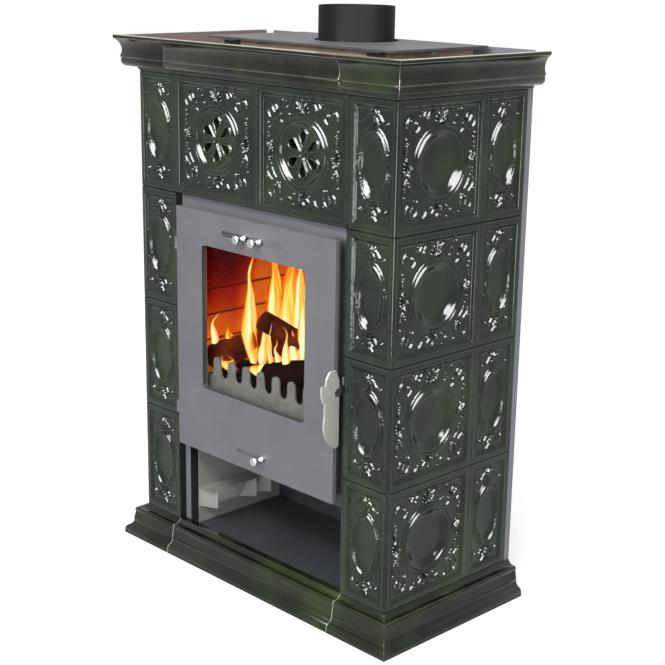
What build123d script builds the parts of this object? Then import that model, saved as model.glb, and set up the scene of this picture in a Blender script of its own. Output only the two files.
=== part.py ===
"""Tiled stove: glazed relief tiles round a steel firebox with a glass door, and an open wood store below.

Frame: millimetres, +Z up, the front faces -Y, and the origin is the middle of the footprint on the floor.
The glazed pieces stand on each other: plinth, four rows of tiles, cornice. The steel insert stands inside
them on the base frame. The door swings on its left edge and carries the air shutters and the handle.
"""
import os
from math import cos, radians, sin

from build123d import *

# ---- Tiles ----
tile_width = 220.0  # a whole front tile, and half of the opening between the two tile columns
tile_height = 212.0  # one row
row_count = 4
corner_front = 105.0  # narrow face of a corner tile
corner_side = 208.0  # wide face of a corner tile
half_side = 105.0  # narrow tile behind each corner tile
tile_wall = 14.0  # thickness of a tile's face
rump_depth = 40.0  # depth of the collar behind a face
rump_wall = 8.0
corner_radius = 5.0  # rounding of a corner tile's edge
joint_bevel = 1.5  # two bevels make the joint between rows

# ---- Relief on the tiles ----
rail_width = 12.0  # flat border round a panel
panel_bevel = 5.0  # sloping side of the sunk panel
panel_depth = 4.0
dish_radius = 52.0  # round dish in a wide face
dish_depth = 5.5
dish_slope = 5.0  # how far the dish's side slopes in
oval_half_width = 29.0  # oval dish in a narrow face
oval_half_height = 53.0
oval_end_radius = 19.0  # its rounding at the top and bottom
oval_depth = 4.5
oval_slope = 4.0
vent_radius = 53.0  # sunk rosette of a vent tile
vent_ring = 8.0  # width of the ridge round the rosette
vent_depth = 6.0
ring_height = 2.5  # the ridge stands this much above the sunk panel, and a petal's rim above the rosette's floor
petal_count = 6
petal_centre = 31.0  # from the hub to the middle of a petal's round end
petal_radius = 7.5
petal_point = 20.0  # from the round end's middle to the petal's point, towards the hub
petal_rim = 3.0
petal_angle = 60.0  # from a petal's middle line to where its sides leave the round end, degrees

# ---- Mouldings: (out, up, bend) steps from the lowest; bend 1 is round, -1 is hollow, 0 is straight ----
plinth_steps = [
    (0.0, 6.0, 0),
    (-5.0, 10.0, 0.6),
    (-8.0, 14.0, -1),
    (-3.0, 15.0, 0),
    (-2.0, 9.0, 1),
    (-15.0, 8.0, -1),
]
cornice_steps = [
    (2.0, 6.0, 0),
    (15.0, 1.0, 0),
    (5.0, 15.0, 1),
    (3.0, 1.0, 0),
    (8.0, 33.5, -1),
    (0.0, 5.5, 0),
]
arc_rise = 0.2  # height of a bent step's arc, per length of its chord
moulding_wall = 14.0

# ---- Steel ----
sheet = 2.0
plate = 3.0
back_gap = 14.0  # from the last tiles to the back sheet
back_inset = 2.0  # the back sheet's edge lies inside the tile faces
slot_count = 7
slot_pitch = 84.0
slot_length = 50.0
slot_height = 8.0
slot_rows = 2
slot_row_pitch = 53.0  # between the rows, and from the wood store's top to the first
floor_drop = 12.0  # floor of the wood store, below the plinth's top
foot_width = 60.0  # width of the middle foot under the base frame
fit_gap = 1.0
post_width = 25.0

# ---- Door ----
door_gap = 13.0  # from the door's edge to the tiles
door_rise = 163.0  # from the plinth's top to the door's lower edge
ledge_height = 20.5  # steel seen between the door's top and the vent tiles
door_proud = 10.0  # the door's face stands in front of the tiles
door_depth = 8.0
window_side = 71.5  # from the door's side edges to the window
window_head = 61.0  # from the door's top edge to the window
window_base = 125.0  # from the door's lower edge to the window
window_radius = 8.0
window_collar = 10.0  # depth of the folded edge round the window
glass_thickness = 4.0
glass_lap = 13.0  # the glass is this much larger than the window
glass_seat = 1.5  # tape between the collar and the glass
seal_width = 10.0
seal_inset = 11.0  # from the door's edge to the rope seal
seal_clear = 0.3
channel_depth = 4.0
clip_height = 16.0  # clips that hold the glass
clip_lap = 5.0
clip_inset = 40.0  # from the window's lower and upper edge to a clip

# ---- Air shutters in the door ----
upper_slot_length = 160.0
upper_slot_height = 10.0
upper_slot_drop = 32.0  # from the door's top edge to the slot's middle
lower_slot_length = 76.0
lower_slot_height = 5.0
lower_slot_rise = 30.5  # from the door's lower edge to the slot's middle
shutter_lap = 6.0  # a shutter is this much larger than its slot, all round
shutter_clear = 0.3
upper_knob_x = 20.0
lower_knob_x = 28.0
stem_radius = 2.0
knob_foot_length = 3.0
knob_waist_length = 6.0  # from the foot to the neck, the thinnest place
knob_flare_length = 7.5  # from the neck to the head
knob_head_length = 5.5
knob_edge = 1.5
knob_head_radius = 8.0
knob_neck_radius = 4.0
knob_foot_radius = 7.0
knob_clear = 0.3
stop_clear = 1.0  # from a stem to its slot's end, at the end of its travel

# ---- Hinges and handle ----
pin_radius = 3.0
pin_clear = 0.05
knuckle_radius = 5.0
knuckle_length = 11.0
knuckle_clear = 0.2
hinge_inset = 70.0  # from the door's ends to the middle of a hinge
hinge_behind = 7.0  # hinge axis, behind the door's face
handle_thickness = 4.0
handle_rise = 199.0  # pivot, above the door's lower edge
handle_up = 38.0  # top of the lever, above its pivot
handle_down = 98.0
handle_reach = 22.0  # the lever stands this much in front of the door
tab_reach = 9.0  # the thumb tab stands out further
tab_height = 30.0
tab_lean = 4.0  # the tab's lower corner lies this much further in
tab_bow = 2.8  # how far the tab's edge bows out
lever_round = 11.0  # how far the lever's ends are rounded off
lever_top_bow = 3.3
lever_bow = 11.0  # how far the lower end's rounding bows out
lever_waist = 39.0  # from the pivot down to the start of that rounding
lever_step = 2.0  # the lever below the tab stands this much further out
lever_foot = 4.0  # the lower end's rear corner is this much higher
bolt_radius = 3.0
bolt_head_radius = 7.0
bolt_head = 2.0
collar_radius = 6.0
collar_length = 1.0  # between the door's edge and the handle
side_clear = 0.2
pivot_behind = 4.0  # pivot, behind the door's face
nose_reach = 16.0  # the handle's nose, behind its pivot
nose_half = 8.0
keeper_clear = 1.5
keeper_depth = 6.0
keeper_height = 12.0

# ---- Firebox ----
frame_setback = 14.0  # front plate, behind the tile faces
mouth_jamb = 54.0  # from the front plate's edge to the fire mouth
mouth_head = 27.5  # from the door's top edge to the fire mouth
mouth_radius = 16.0
mouth_base = 99.0  # from the door's lower edge to the fire mouth
ash_mouth_width = 236.0
ash_mouth_height = 52.0
ash_mouth_base = 24.0  # from the door's lower edge
store_jamb = 14.0  # stile beside the wood store
store_head = 13.0  # the front plate reaches this much below the door
hearth_rise = 6.0  # top of the hearth, above the mouth's lower edge
firebox_jamb = 16.0  # from the front plate's edge to the firebox's side
firebox_depth = 299.0
firebox_drop = 45.0  # the firebox's lid lies this much below the tiles' top
ledge_width = 10.0  # ledges inside the shell, under the hearth
brick_thickness = 30.0
brick_drop = 10.0  # the bricks end this much below the top of the fire mouth
course_height = 47.5
course_groove = 2.0
hearth_thickness = 24.0
baffle_thickness = 12.0
baffle_depth = 220.0
grate_width = 200.0
grate_depth = 150.0
grate_thickness = 12.0
grate_slots = 9
grate_bar = 12.0
ash_pan_width = 220.0
ash_pan_depth = 220.0
ash_pan_height = 48.0
grip_width = 48.0  # the ash pan's grip
grip_rise = 34.0
guard_finger = 20.0
guard_lap = 5.0  # the comb reaches this much beyond the fire mouth, on either side
guard_fingers = 9
guard_height = 88.5
guard_slot_depth = 36.0
guard_drop = 6.0  # lower edge of the comb, below the mouth's lower edge

# ---- Wood store ----
store_depth = 229.0  # from the front plate's face back to the rear wall
store_setback = 17.0  # side walls start this much behind the front plate
rail_height = 72.0
rail_width_out = 36.0
rail_length = 154.0
rail_rise = 47.0  # lower edge of the rail's web
rail_mouth = 17.0  # the web starts this far behind the rail's front end
rail_gap = 88.0  # the web's upper edge ends this far behind the front end
rail_slant = 18.0
flap_rise = 34.0  # lower edge of the flaps, above the floor sheet
flap_reach = 23.0  # across and along, for a flap turned 45 degrees
flap_place = 116.0  # inner edge of the middle flap, behind the rail's front end
flap_slant = 13.0

# ---- Top ----
top_overhang = 30.0  # the top plate reaches this much beyond the storage blocks, on either side
top_depth = 232.0
top_thickness = 4.0
top_drop = 2.0  # the plate's underside lies this much below the cornice's rim
top_behind = 8.0  # from the top plate's rear edge to the back sheet
flue_radius = 67.5
flue_wall = 2.5
flue_height = 59.0  # above the top plate
flue_from_back = 93.0  # flue axis, in front of the back sheet
flue_hole_gap = 7.5
block_inset = 3.0  # from the firebox's sides to the storage blocks
block_front = 14.0  # from the top plate's front edge to the storage blocks
bracket_width = 42.0
bracket_height = 14.0
side_bracket_width = 20.0
side_bracket_back = 90.0  # from the top plate's front edge

# ---- Places worked out from the sizes ----
plinth_out = -sum(out for out, up, bend in plinth_steps)
plinth_height = sum(up for out, up, bend in plinth_steps)
cornice_height = sum(up for out, up, bend in cornice_steps)
half_width = tile_width + corner_front
body_depth = corner_side + half_side + back_gap + sheet
face_y = -(body_depth + plinth_out) / 2 + plinth_out
rear_y = face_y + body_depth
sheet_y = rear_y - sheet
tiles_rear_y = face_y + corner_side + half_side
tiles_top = plinth_height + row_count * tile_height
cornice_top = tiles_top + cornice_height
vents_base = tiles_top - tile_height
floor_top = plinth_height - floor_drop

door_width = 2 * (tile_width - door_gap)
door_top = vents_base - ledge_height
door_base = plinth_height + door_rise
door_height = door_top - door_base
door_front = face_y - door_proud
door_back = door_front + door_depth
frame_front = face_y + frame_setback
frame_back = frame_front + plate
frame_half = tile_width - fit_gap
store_half = frame_half - store_jamb
store_top = door_base - store_head
window_bottom = door_base + window_base
window_width = door_width - 2 * window_side
window_height = door_height - window_base - window_head
collar_back = door_front + window_collar
glass_front = collar_back + glass_seat
glass_back = glass_front + glass_thickness
inner_front = door_back - sheet

shelf_back = face_y + rump_depth
firebox_base = door_base + ash_mouth_base - plate
firebox_half = frame_half - firebox_jamb
firebox_back = frame_back + firebox_depth
firebox_top = tiles_top - firebox_drop
mouth_bottom = door_base + mouth_base
mouth_top = door_top - mouth_head
hearth_top = mouth_bottom + hearth_rise
hearth_base = hearth_top - hearth_thickness
inside_half = firebox_half - plate
brick_rear = firebox_back - plate
brick_top = mouth_top - brick_drop

block_half = firebox_half - block_inset
top_half = block_half + top_overhang
top_base = cornice_top - top_drop
top_top = top_base + top_thickness
top_rear = sheet_y - top_behind
top_front = top_rear - top_depth
flue_y = sheet_y - flue_from_back

pivot_z = door_base + handle_rise
pivot_y = door_front + pivot_behind
handle_x = door_width / 2 + collar_length + side_clear
hinge_x = -(door_width / 2 + door_gap / 2)
hinge_y = door_front + hinge_behind
hinge_heights = {"lower": door_base + hinge_inset, "upper": door_top - hinge_inset}
upper_slot_z = door_top - upper_slot_drop
lower_slot_z = door_base + lower_slot_rise
far = 3 * half_width  # beyond every face of the stove

os.makedirs("parts", exist_ok=True)


def block(x0, x1, y0, y1, z0, z1):
    """A box between two corners."""
    return Pos((x0 + x1) / 2, (y0 + y1) / 2, (z0 + z1) / 2) * Box(abs(x1 - x0), abs(y1 - y0), abs(z1 - z0))


def mirrored(solid):
    return mirror(solid, about=Plane.YZ)


def save(node, shape):
    """One closed solid per node, named after the piece."""
    solids = shape.solids()
    print(f"{node}: {len(solids)} solid, {sum(s.volume for s in solids):.0f} mm3")
    result = solids[0] if len(solids) == 1 else Compound(children=list(solids))
    result.label = node
    export_step(result, f"parts/{node}.step")


def save_pair(name, right, suffix=""):
    """A piece and its mirror image on the other side of the stove."""
    save(f"{name}_right{suffix}", right)
    save(f"{name}_left{suffix}", mirrored(right))


# ---- Mouldings ----
def moulding_points(steps, first_out, base):
    """Corner points of a moulding as (out, height), and the bend of the edge after each."""
    out, up = first_out, base
    points = [(out, up)]
    for step_out, step_up, bend in steps:
        out, up = out + step_out, up + step_up
        points.append((out, up))
    return points


def moulding_face(steps, first_out, base, plane, depth):
    """The moulding's outline in the given plane, filled back to depth behind the faces."""
    points = moulding_points(steps, first_out, base)
    edges = []
    for start, end, (step_out, step_up, bend) in zip(points, points[1:], steps):
        if bend:
            chord = (step_out**2 + step_up**2) ** 0.5
            edges.append(SagittaArc(start, end, -bend * arc_rise * chord))
        else:
            edges.append(Line(start, end))
    bottom, top = points[0], points[-1]
    edges.append(Polyline(top, (-depth, top[1]), (-depth, bottom[1]), bottom))
    return plane * make_face(edges)


def ring_blank(face_of, length):
    """Where the front and both side mouldings meet, with mitred corners."""
    front = Plane(origin=(0, face_y, 0), x_dir=(0, -1, 0), z_dir=(-1, 0, 0))
    right = Plane(origin=(half_width, 0, 0), x_dir=(1, 0, 0), z_dir=(0, -1, 0))
    left = Plane(origin=(-half_width, 0, 0), x_dir=(-1, 0, 0), z_dir=(0, 1, 0))
    blank = extrude(face_of(front), amount=length, both=True)
    for side in (right, left):
        blank = blank & extrude(face_of(side), amount=length, both=True)
    return blank


def inner_face(points, plane):
    return plane * make_face(Polyline(*points, close=True))


def moulded_ring(steps, first_out, base, inner_points):
    """A moulding round the front and both sides, hollow behind and open at the rear."""
    outer = ring_blank(lambda plane: moulding_face(steps, first_out, base, plane, far), far)
    inner = ring_blank(lambda plane: inner_face(inner_points, plane), far)
    behind = block(-far, far, sheet_y, sheet_y + 2 * far, base - far, base + far)
    return outer - inner - behind


def save_moulding(name, whole):
    """The front length between the tile columns, and a corner with its side on either hand."""
    middle = block(-tile_width, tile_width, -far, 0, -far, far * 2)
    save(f"{name}_front", whole & middle)
    save_pair(f"{name}_corner", (whole - middle) & block(0, far, -far, far, -far, far * 2))


def make_plinth():
    cove_out, cove_up, bend = plinth_steps[-1]
    wall = moulding_wall
    top = plinth_height
    inner = [
        (-wall, top + wall),
        (-wall, top - wall),
        (-cove_out - wall, top - wall - cove_up),
        (plinth_out - wall, 0),
        (plinth_out - wall, -wall),
        (-far, -wall),
        (-far, top + wall),
    ]
    save_moulding("plinth", moulded_ring(plinth_steps, plinth_out, 0, inner))


def make_cornice():
    bead_out, bead_up, bend = cornice_steps[0]
    cornice_out = sum(out for out, up, bend in cornice_steps)
    wall = moulding_wall
    inner = [
        (-rump_depth, tiles_top - wall),
        (-rump_depth, tiles_top + wall),
        (bead_out, tiles_top + wall),
        (cornice_out - wall, cornice_top),
        (cornice_out - wall, cornice_top + wall),
        (-far, cornice_top + wall),
        (-far, tiles_top - wall),
    ]
    save_moulding("cornice", moulded_ring(cornice_steps, 0, tiles_top, inner))


# ---- Tiles: relief is drawn on the XZ plane of a face, whose outside is -Y ----
def sunk_panel(width, height):
    """The sunk panel inside a tile's flat border, with sloping sides."""
    outer = Rectangle(width - 2 * rail_width, height - 2 * rail_width)
    inner_width = width - 2 * (rail_width + panel_bevel)
    inner_height = height - 2 * (rail_width + panel_bevel)
    return slope(outer, 0, Rectangle(inner_width, inner_height), panel_depth)


def standing(sketch, start, end):
    """A sketch drawn on the face, raised from depth start to depth end behind it."""
    return extrude(Plane.XZ.offset(-start) * sketch, amount=end - start, dir=(0, 1, 0))


def slope(first, start, second, end):
    """A sloping solid between two outlines at two depths behind the face."""
    return loft([Plane.XZ.offset(-start) * first, Plane.XZ.offset(-end) * second], ruled=True)


def petal():
    """Outline of one opening: round outside, pointed towards the hub."""
    angle = radians(petal_angle)
    touch = (petal_radius * cos(angle), petal_radius * sin(angle))
    left = (-touch[1], -touch[0])
    right = (touch[1], -touch[0])
    point = (0, -petal_point)
    edges = [ThreePointArc(left, (0, petal_radius), right), Line(right, point), Line(point, left)]
    return make_face(edges)


def petal_places():
    return [Rot(0, 0, 360 / petal_count * i) * Pos(0, petal_centre) for i in range(petal_count)]


def oval(grow=0.0):
    """An oval of four arcs that meet smoothly; grow moves its edge outwards."""
    half, reach, end = oval_half_width, oval_half_height - oval_end_radius, oval_end_radius
    side = (half**2 + reach**2 - end**2) / (2 * (half - end))
    share = (end + grow) / (side - end)
    x, y = (side - half) * share, reach * (1 + share)
    half, tip = half + grow, oval_half_height + grow
    ends = [ThreePointArc((x, y), (0, tip), (-x, y)), ThreePointArc((-x, -y), (0, -tip), (x, -y))]
    sides = [ThreePointArc((x, -y), (half, 0), (x, y)), ThreePointArc((-x, y), (-half, 0), (-x, -y))]
    return make_face(ends + sides)


def relief_wide(width):
    """Solids to take away for a wide face: the panel and the round dish."""
    bottom = Circle(dish_radius - dish_slope)
    return sunk_panel(width, tile_height), slope(Circle(dish_radius), panel_depth, bottom, panel_depth + dish_depth)


def relief_narrow(width):
    """The same for a narrow face with its oval dish."""
    return sunk_panel(width, tile_height), slope(oval(), panel_depth, oval(-oval_slope), panel_depth + oval_depth)


def carve(body, hollows, place):
    for hollow in hollows:
        body -= place * hollow
    return body


def front_place(x, z):
    return Pos(x, face_y, z)


def side_place(y, z):
    """The right side's faces look along +X."""
    return Pos(half_width, y, z) * Rot(0, 0, 90)


def bevel_rows(body, z):
    """Bevel the outer edges above and below, so that rows meet in a V joint."""
    low, high = z - tile_height / 2, z + tile_height / 2
    edges = [
        edge
        for edge in body.edges()
        if (abs(edge.center().Z - low) < 0.01 or abs(edge.center().Z - high) < 0.01)
        and (abs(edge.center().Y - face_y) < 0.01 or abs(edge.center().X - half_width) < 0.01
             or edge.geom_type == GeomType.CIRCLE)
    ]
    return chamfer(edges, joint_bevel)


def hollow_back(x0, x1, y0, y1, z):
    reach = tile_height / 2 - rump_wall
    return block(x0, x1, y0, y1, z - reach, z + reach)


def corner_tile(z):
    """L-shaped tile: a narrow front face, a rounded edge and a wide side face."""
    low, high = z - tile_height / 2, z + tile_height / 2
    side_end = face_y + corner_side
    inner_x = half_width - rump_depth
    body = block(tile_width, half_width, face_y, face_y + rump_depth, low, high)
    body += block(inner_x, half_width, face_y, side_end, low, high)
    edge = body.edges().filter_by(Axis.Z).group_by(Axis.X)[-1].sort_by(Axis.Y)[0]
    body = bevel_rows(fillet(edge, corner_radius), z)
    wall_x, wall_y = half_width - tile_wall, face_y + tile_wall
    body -= hollow_back(tile_width + rump_wall, wall_x, wall_y, face_y + rump_depth, z)
    body -= hollow_back(inner_x, wall_x, wall_y, side_end - rump_wall, z)
    body = carve(body, relief_narrow(corner_front), front_place(tile_width + corner_front / 2, z))
    return carve(body, relief_wide(corner_side), side_place(face_y + corner_side / 2, z))


def half_tile(z):
    """Narrow tile that ends a side at the back panel."""
    low, high = z - tile_height / 2, z + tile_height / 2
    start = face_y + corner_side
    body = block(half_width - rump_depth, half_width, start, tiles_rear_y, low, high)
    body = bevel_rows(body, z)
    wall_x = half_width - tile_wall
    body -= hollow_back(half_width - rump_depth, wall_x, start + rump_wall, tiles_rear_y - rump_wall, z)
    return carve(body, relief_narrow(half_side), side_place(start + half_side / 2, z))


def vent_tile(z):
    """Whole front tile with a sunk rosette of petal openings, each with its own rim."""
    low, high = z - tile_height / 2, z + tile_height / 2
    body = bevel_rows(block(0, tile_width, face_y, face_y + rump_depth, low, high), z)
    body -= hollow_back(rump_wall, tile_width - rump_wall, face_y + tile_wall, face_y + rump_depth, z)
    place = front_place(tile_width / 2, z)
    crest = panel_depth - ring_height
    floor = crest + vent_depth
    body -= place * sunk_panel(tile_width, tile_height)
    body += place * slope(Circle(vent_radius), crest, Circle(vent_radius + vent_ring), panel_depth)
    body -= place * standing(Circle(vent_radius), crest, floor)
    for spot in petal_places():
        rim = spot * offset(petal(), petal_rim, kind=Kind.INTERSECTION)
        body += place * standing(rim, floor - ring_height, floor)
        body -= place * standing(spot * petal(), crest, tile_wall)
    return body


def make_tiles():
    for row in range(row_count):
        z = plinth_height + (row + 0.5) * tile_height
        save_pair("corner_tile", corner_tile(z), f"_row{row + 1}")
        save_pair("half_tile", half_tile(z), f"_row{row + 1}")
    save_pair("vent_tile", vent_tile(tiles_top - tile_height / 2))


# ---- Steel carcass ----
def make_base_frame():
    """Floor of the wood store, folded down to the ground all round, with a foot along the middle."""
    x = half_width - moulding_wall - fit_gap
    y0, y1 = face_y + moulding_wall + fit_gap, sheet_y
    tray = block(-x, x, y0, y1, 0, floor_top)
    tray -= block(plate - x, x - plate, y0 + plate, y1 - plate, 0, floor_top - plate)
    foot = block(-foot_width / 2, foot_width / 2, y0 + plate, y1 - plate, 0, floor_top - plate)
    reach = foot_width / 2 - plate
    foot -= block(-reach, reach, y0 + plate, y1 - plate, plate, floor_top - plate)
    save("base_frame", tray + foot)


def make_corner_posts():
    """Angle posts in the front corners, which the tiles' collars lean on."""
    x, y = half_width - rump_depth, face_y + rump_depth
    post = block(x - post_width, x, y, y + post_width, floor_top, tiles_top)
    post -= block(x - post_width, x - plate, y + plate, y + post_width, floor_top, tiles_top)
    save_pair("corner_post", post)


def make_back_panel():
    """Back sheet with folded edges behind the last tiles, and slots for cool air below."""
    x = half_width - back_inset
    panel = block(-x, x, sheet_y, rear_y, 0, cornice_top)
    for side in (-1, 1):
        panel += block(side * (x - sheet), side * x, tiles_rear_y, sheet_y, plinth_height, tiles_top)
    for row in range(slot_rows):
        z = store_top + slot_row_pitch * (row + 1)
        for i in range(slot_count):
            x0 = (i - (slot_count - 1) / 2) * slot_pitch - slot_length / 2
            panel -= block(x0, x0 + slot_length, sheet_y, rear_y, z, z + slot_height)
    save("back_panel", panel)


def make_front_frame():
    """Front plate of the insert: stiles beside the wood store, fire mouth and ash mouth."""
    body = block(-frame_half, frame_half, frame_front, frame_back, floor_top, vents_base)
    body -= block(-store_half, store_half, frame_front, frame_back, floor_top, store_top)
    mouth = RectangleRounded(2 * (frame_half - mouth_jamb), mouth_top - mouth_bottom, mouth_radius)
    middle = (mouth_bottom + mouth_top) / 2
    body -= extrude(Plane.XZ.offset(-frame_front) * (Pos(0, middle) * mouth), amount=plate, dir=(0, 1, 0))
    ash_low = door_base + ash_mouth_base
    half = ash_mouth_width / 2
    body -= block(-half, half, frame_front, frame_back, ash_low, ash_low + ash_mouth_height)
    body += block(-frame_half, frame_half, frame_back, shelf_back, vents_base - plate, vents_base)
    for side in (-1, 1):
        edge = side * frame_half
        body += block(edge, edge - side * plate, frame_back, shelf_back, floor_top, vents_base)
    save("front_frame", body)


def make_store():
    """Side walls and rear wall of the wood store, folded from one sheet, with a flapped rail on the left."""
    y0, y1 = frame_back + store_setback, face_y + frame_setback + store_depth
    wall = block(-store_half - sheet, store_half + sheet, y0, y1 + sheet, floor_top, firebox_base)
    wall -= block(-store_half, store_half, y0, y1, floor_top, firebox_base)
    inner = store_half - rail_width_out
    top = floor_top + rail_height
    low, foot = floor_top + rail_rise, floor_top + flap_rise
    end = y0 + rail_length
    web = Plane.YZ.offset(-inner) * make_face(
        Polyline(
            (y0 + rail_mouth, top),
            (y0 + rail_gap, top),
            (y0 + rail_gap - rail_slant, low),
            (y0 + rail_mouth, low),
            close=True,
        )
    )
    rail = extrude(web, amount=-sheet) + block(-store_half, -inner, y0, end, top - sheet, top)
    rail += flap((-store_half - sheet / 2, y0 + sheet), (-inner, y0 + rail_mouth + sheet), foot, top, 0)
    for y in (y0 + flap_place, end):
        rail += flap((-inner - flap_reach, y - flap_reach), (-inner, y), foot, top, flap_slant)
    save("store_liner", wall + rail)


def flap(outer, inner, low, high, slant):
    """An upright piece of sheet between two points of the plan, its outer edge cut back upwards by the slant."""
    along = Vector(inner[0] - outer[0], inner[1] - outer[1], 0)
    plane = Plane(origin=(outer[0], outer[1], 0), x_dir=along, z_dir=(along.Y, -along.X, 0))
    outline = Polyline((0, low), (slant, high), (along.length, high), (along.length, low), close=True)
    return extrude(plane * make_face(outline), amount=sheet)


def make_firebox():
    """Welded firebox: the lower part reaches the front plate, the upper part stands behind the vent tiles."""
    step = vents_base - plate
    lower = block(-firebox_half, firebox_half, frame_back, firebox_back, firebox_base, step)
    upper = block(-firebox_half, firebox_half, shelf_back, firebox_back, step, firebox_top)
    inner_back = firebox_back - plate
    shell = lower + upper
    shell -= block(-inside_half, inside_half, frame_back, inner_back, firebox_base + plate, step)
    shell -= block(-inside_half, inside_half, shelf_back + plate, inner_back, step, firebox_top)
    for side in (-1, 1):
        shell += block(
            side * (inside_half - ledge_width), side * inside_half,
            frame_back, inner_back, hearth_base - plate, hearth_base,
        )
    save("firebox_shell", shell)
    lid = block(-firebox_half, firebox_half, shelf_back, firebox_back, firebox_top, firebox_top + plate)
    outlet = Pos(0, flue_y, firebox_top + plate / 2) * Cylinder(flue_radius, plate)
    save("firebox_top", lid - outlet)


def make_firebricks():
    """Moulded fireclay lining, with the courses' grooves on the faces towards the fire."""
    height = brick_top - hearth_top
    y0, y1 = frame_back + plate, brick_rear
    side = block(inside_half - brick_thickness, inside_half, y0, y1, hearth_top, brick_top)
    rear = block(
        brick_thickness - inside_half, inside_half - brick_thickness,
        brick_rear - brick_thickness, brick_rear, hearth_top, brick_top,
    )
    side_face, rear_face = inside_half - brick_thickness, brick_rear - brick_thickness
    for i in range(1, int(height / course_height) + 1):
        z = hearth_top + i * course_height
        top = z + course_groove
        if top < brick_top:
            side -= block(side_face, side_face + course_groove, y0, y1, z, top)
            rear -= block(-inside_half, inside_half, rear_face, rear_face + course_groove, z, top)
    save_pair("firebrick_side", side)
    save("firebrick_rear", rear)
    baffle_front, baffle_top = brick_rear - baffle_depth, brick_top + baffle_thickness
    baffle = block(-inside_half, inside_half, baffle_front, brick_rear, brick_top, baffle_top)
    save("baffle_plate", baffle)


def make_hearth():
    """Fireclay hearth with a rebate for the grate, the grate and the ash pan below."""
    y0, y1 = frame_back, brick_rear
    middle = (y0 + y1 - brick_thickness) / 2
    half, reach = grate_width / 2, grate_depth / 2
    low = hearth_top - grate_thickness
    hearth = block(-inside_half, inside_half, y0, y1, hearth_base, hearth_top)
    rebate, rebate_reach = half + fit_gap, reach + fit_gap
    hearth -= block(-rebate, rebate, middle - rebate_reach, middle + rebate_reach, low, hearth_top)
    chute, chute_reach = half - grate_bar, reach - grate_bar
    hearth -= block(-chute, chute, middle - chute_reach, middle + chute_reach, hearth_base, hearth_top)
    save("hearth_floor", hearth)

    grate = block(-half, half, middle - reach, middle + reach, low, hearth_top)
    pitch = (grate_width - grate_bar) / grate_slots
    slot = block(
        (grate_bar - pitch) / 2, (pitch - grate_bar) / 2,
        middle - chute_reach, middle + chute_reach, low, hearth_top,
    )
    for i in range(grate_slots):
        grate -= Pos((i - (grate_slots - 1) / 2) * pitch, 0, 0) * slot
    save("grate", grate)

    base = firebox_base + plate
    half, end, top = ash_pan_width / 2, y0 + ash_pan_depth, base + ash_pan_height
    pan = block(-half, half, y0, end, base, top)
    pan -= block(sheet - half, half - sheet, y0 + sheet, end - sheet, base + sheet, top)
    grip_z = base + grip_rise
    grip = block(-grip_width / 2, grip_width / 2, frame_front, y0, grip_z, grip_z + sheet)
    save("ash_pan", pan + grip)


def make_log_guard():
    """Comb that keeps the logs off the glass: round-ended fingers with round-bottomed slots between them."""
    base = mouth_bottom - guard_drop
    width = 2 * (frame_half - mouth_jamb + guard_lap)
    pitch = (width - guard_finger) / (guard_fingers - 1)
    half_finger = guard_finger / 2
    half_slot = (pitch - guard_finger) / 2
    top = base + guard_height
    comb = Pos(0, (base + top) / 2) * Rectangle(width, top - base)
    for i in range(guard_fingers):
        x = (i - (guard_fingers - 1) / 2) * pitch
        tip = Pos(x, top - half_finger) * (Rectangle(guard_finger, guard_finger) - Circle(half_finger))
        comb -= tip & (Pos(x, top) * Rectangle(guard_finger, guard_finger))
        if i < guard_fingers - 1:
            slot_x = x + pitch / 2
            bottom = top - guard_slot_depth + half_slot
            comb -= Pos(slot_x, bottom) * Circle(half_slot)
            comb -= Pos(slot_x, (bottom + top) / 2) * Rectangle(2 * half_slot, top - bottom)
    body = extrude(Plane.XZ.offset(-(frame_front - plate)) * comb, amount=plate, dir=(0, 1, 0))
    save("log_guard", body)


# ---- Top ----
def make_top():
    """Steel top plate on fireclay storage blocks, the flue and the brackets under the plate's edges."""
    hole = Pos(0, flue_y, top_base) * Cylinder(flue_radius + flue_hole_gap, 4 * top_thickness)
    top = block(-top_half, top_half, top_front, top_rear, top_base, top_top) - hole
    face, near = top_front + block_front, block_half - bracket_width
    bracket = block(near, block_half, top_front + fit_gap, face, top_base - sheet, top_base)
    bracket += block(near, block_half, face - sheet, face, top_base - bracket_height, top_base)
    edge = top_half - fit_gap
    back = top_front + side_bracket_back
    bracket += block(block_half, edge, back, back + side_bracket_width, top_base - sheet, top_base)
    bracket += block(edge - sheet, edge, back, back + side_bracket_width, top_base - bracket_height, top_base)
    save("top_plate", top + bracket + mirrored(bracket))

    low = firebox_top + plate
    high = top_top + flue_height
    pipe = Pos(0, flue_y, (firebox_top + high) / 2) * Cylinder(flue_radius, high - firebox_top)
    bore = Pos(0, flue_y, (firebox_top + high) / 2) * Cylinder(flue_radius - flue_wall, high - firebox_top)
    save("flue_pipe", pipe - bore)

    storage = block(0, block_half, top_front + block_front, firebox_back, low, top_base)
    storage -= Pos(0, flue_y, (low + top_base) / 2) * Cylinder(flue_radius + flue_hole_gap, top_base - low)
    save_pair("storage_block", storage)


# ---- Door ----
def slot_cut(length, height, z):
    return extrude(
        Plane.XZ.offset(-door_front) * (Pos(0, z) * SlotOverall(length, height)), amount=sheet, dir=(0, 1, 0)
    )


def window_outline(grow):
    shape = RectangleRounded(window_width + 2 * grow, window_height + 2 * grow, window_radius + grow)
    return Pos(0, window_bottom + window_height / 2) * shape


def door_sheet(outline, start, end):
    """A sheet outline on the door, from one depth to another."""
    return extrude(Plane.XZ.offset(-start) * outline, amount=end - start, dir=(0, 1, 0))


def door_outline(inset):
    middle = (door_base + door_top) / 2
    return Pos(0, middle) * Rectangle(door_width - 2 * inset, door_height - 2 * inset)


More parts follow.
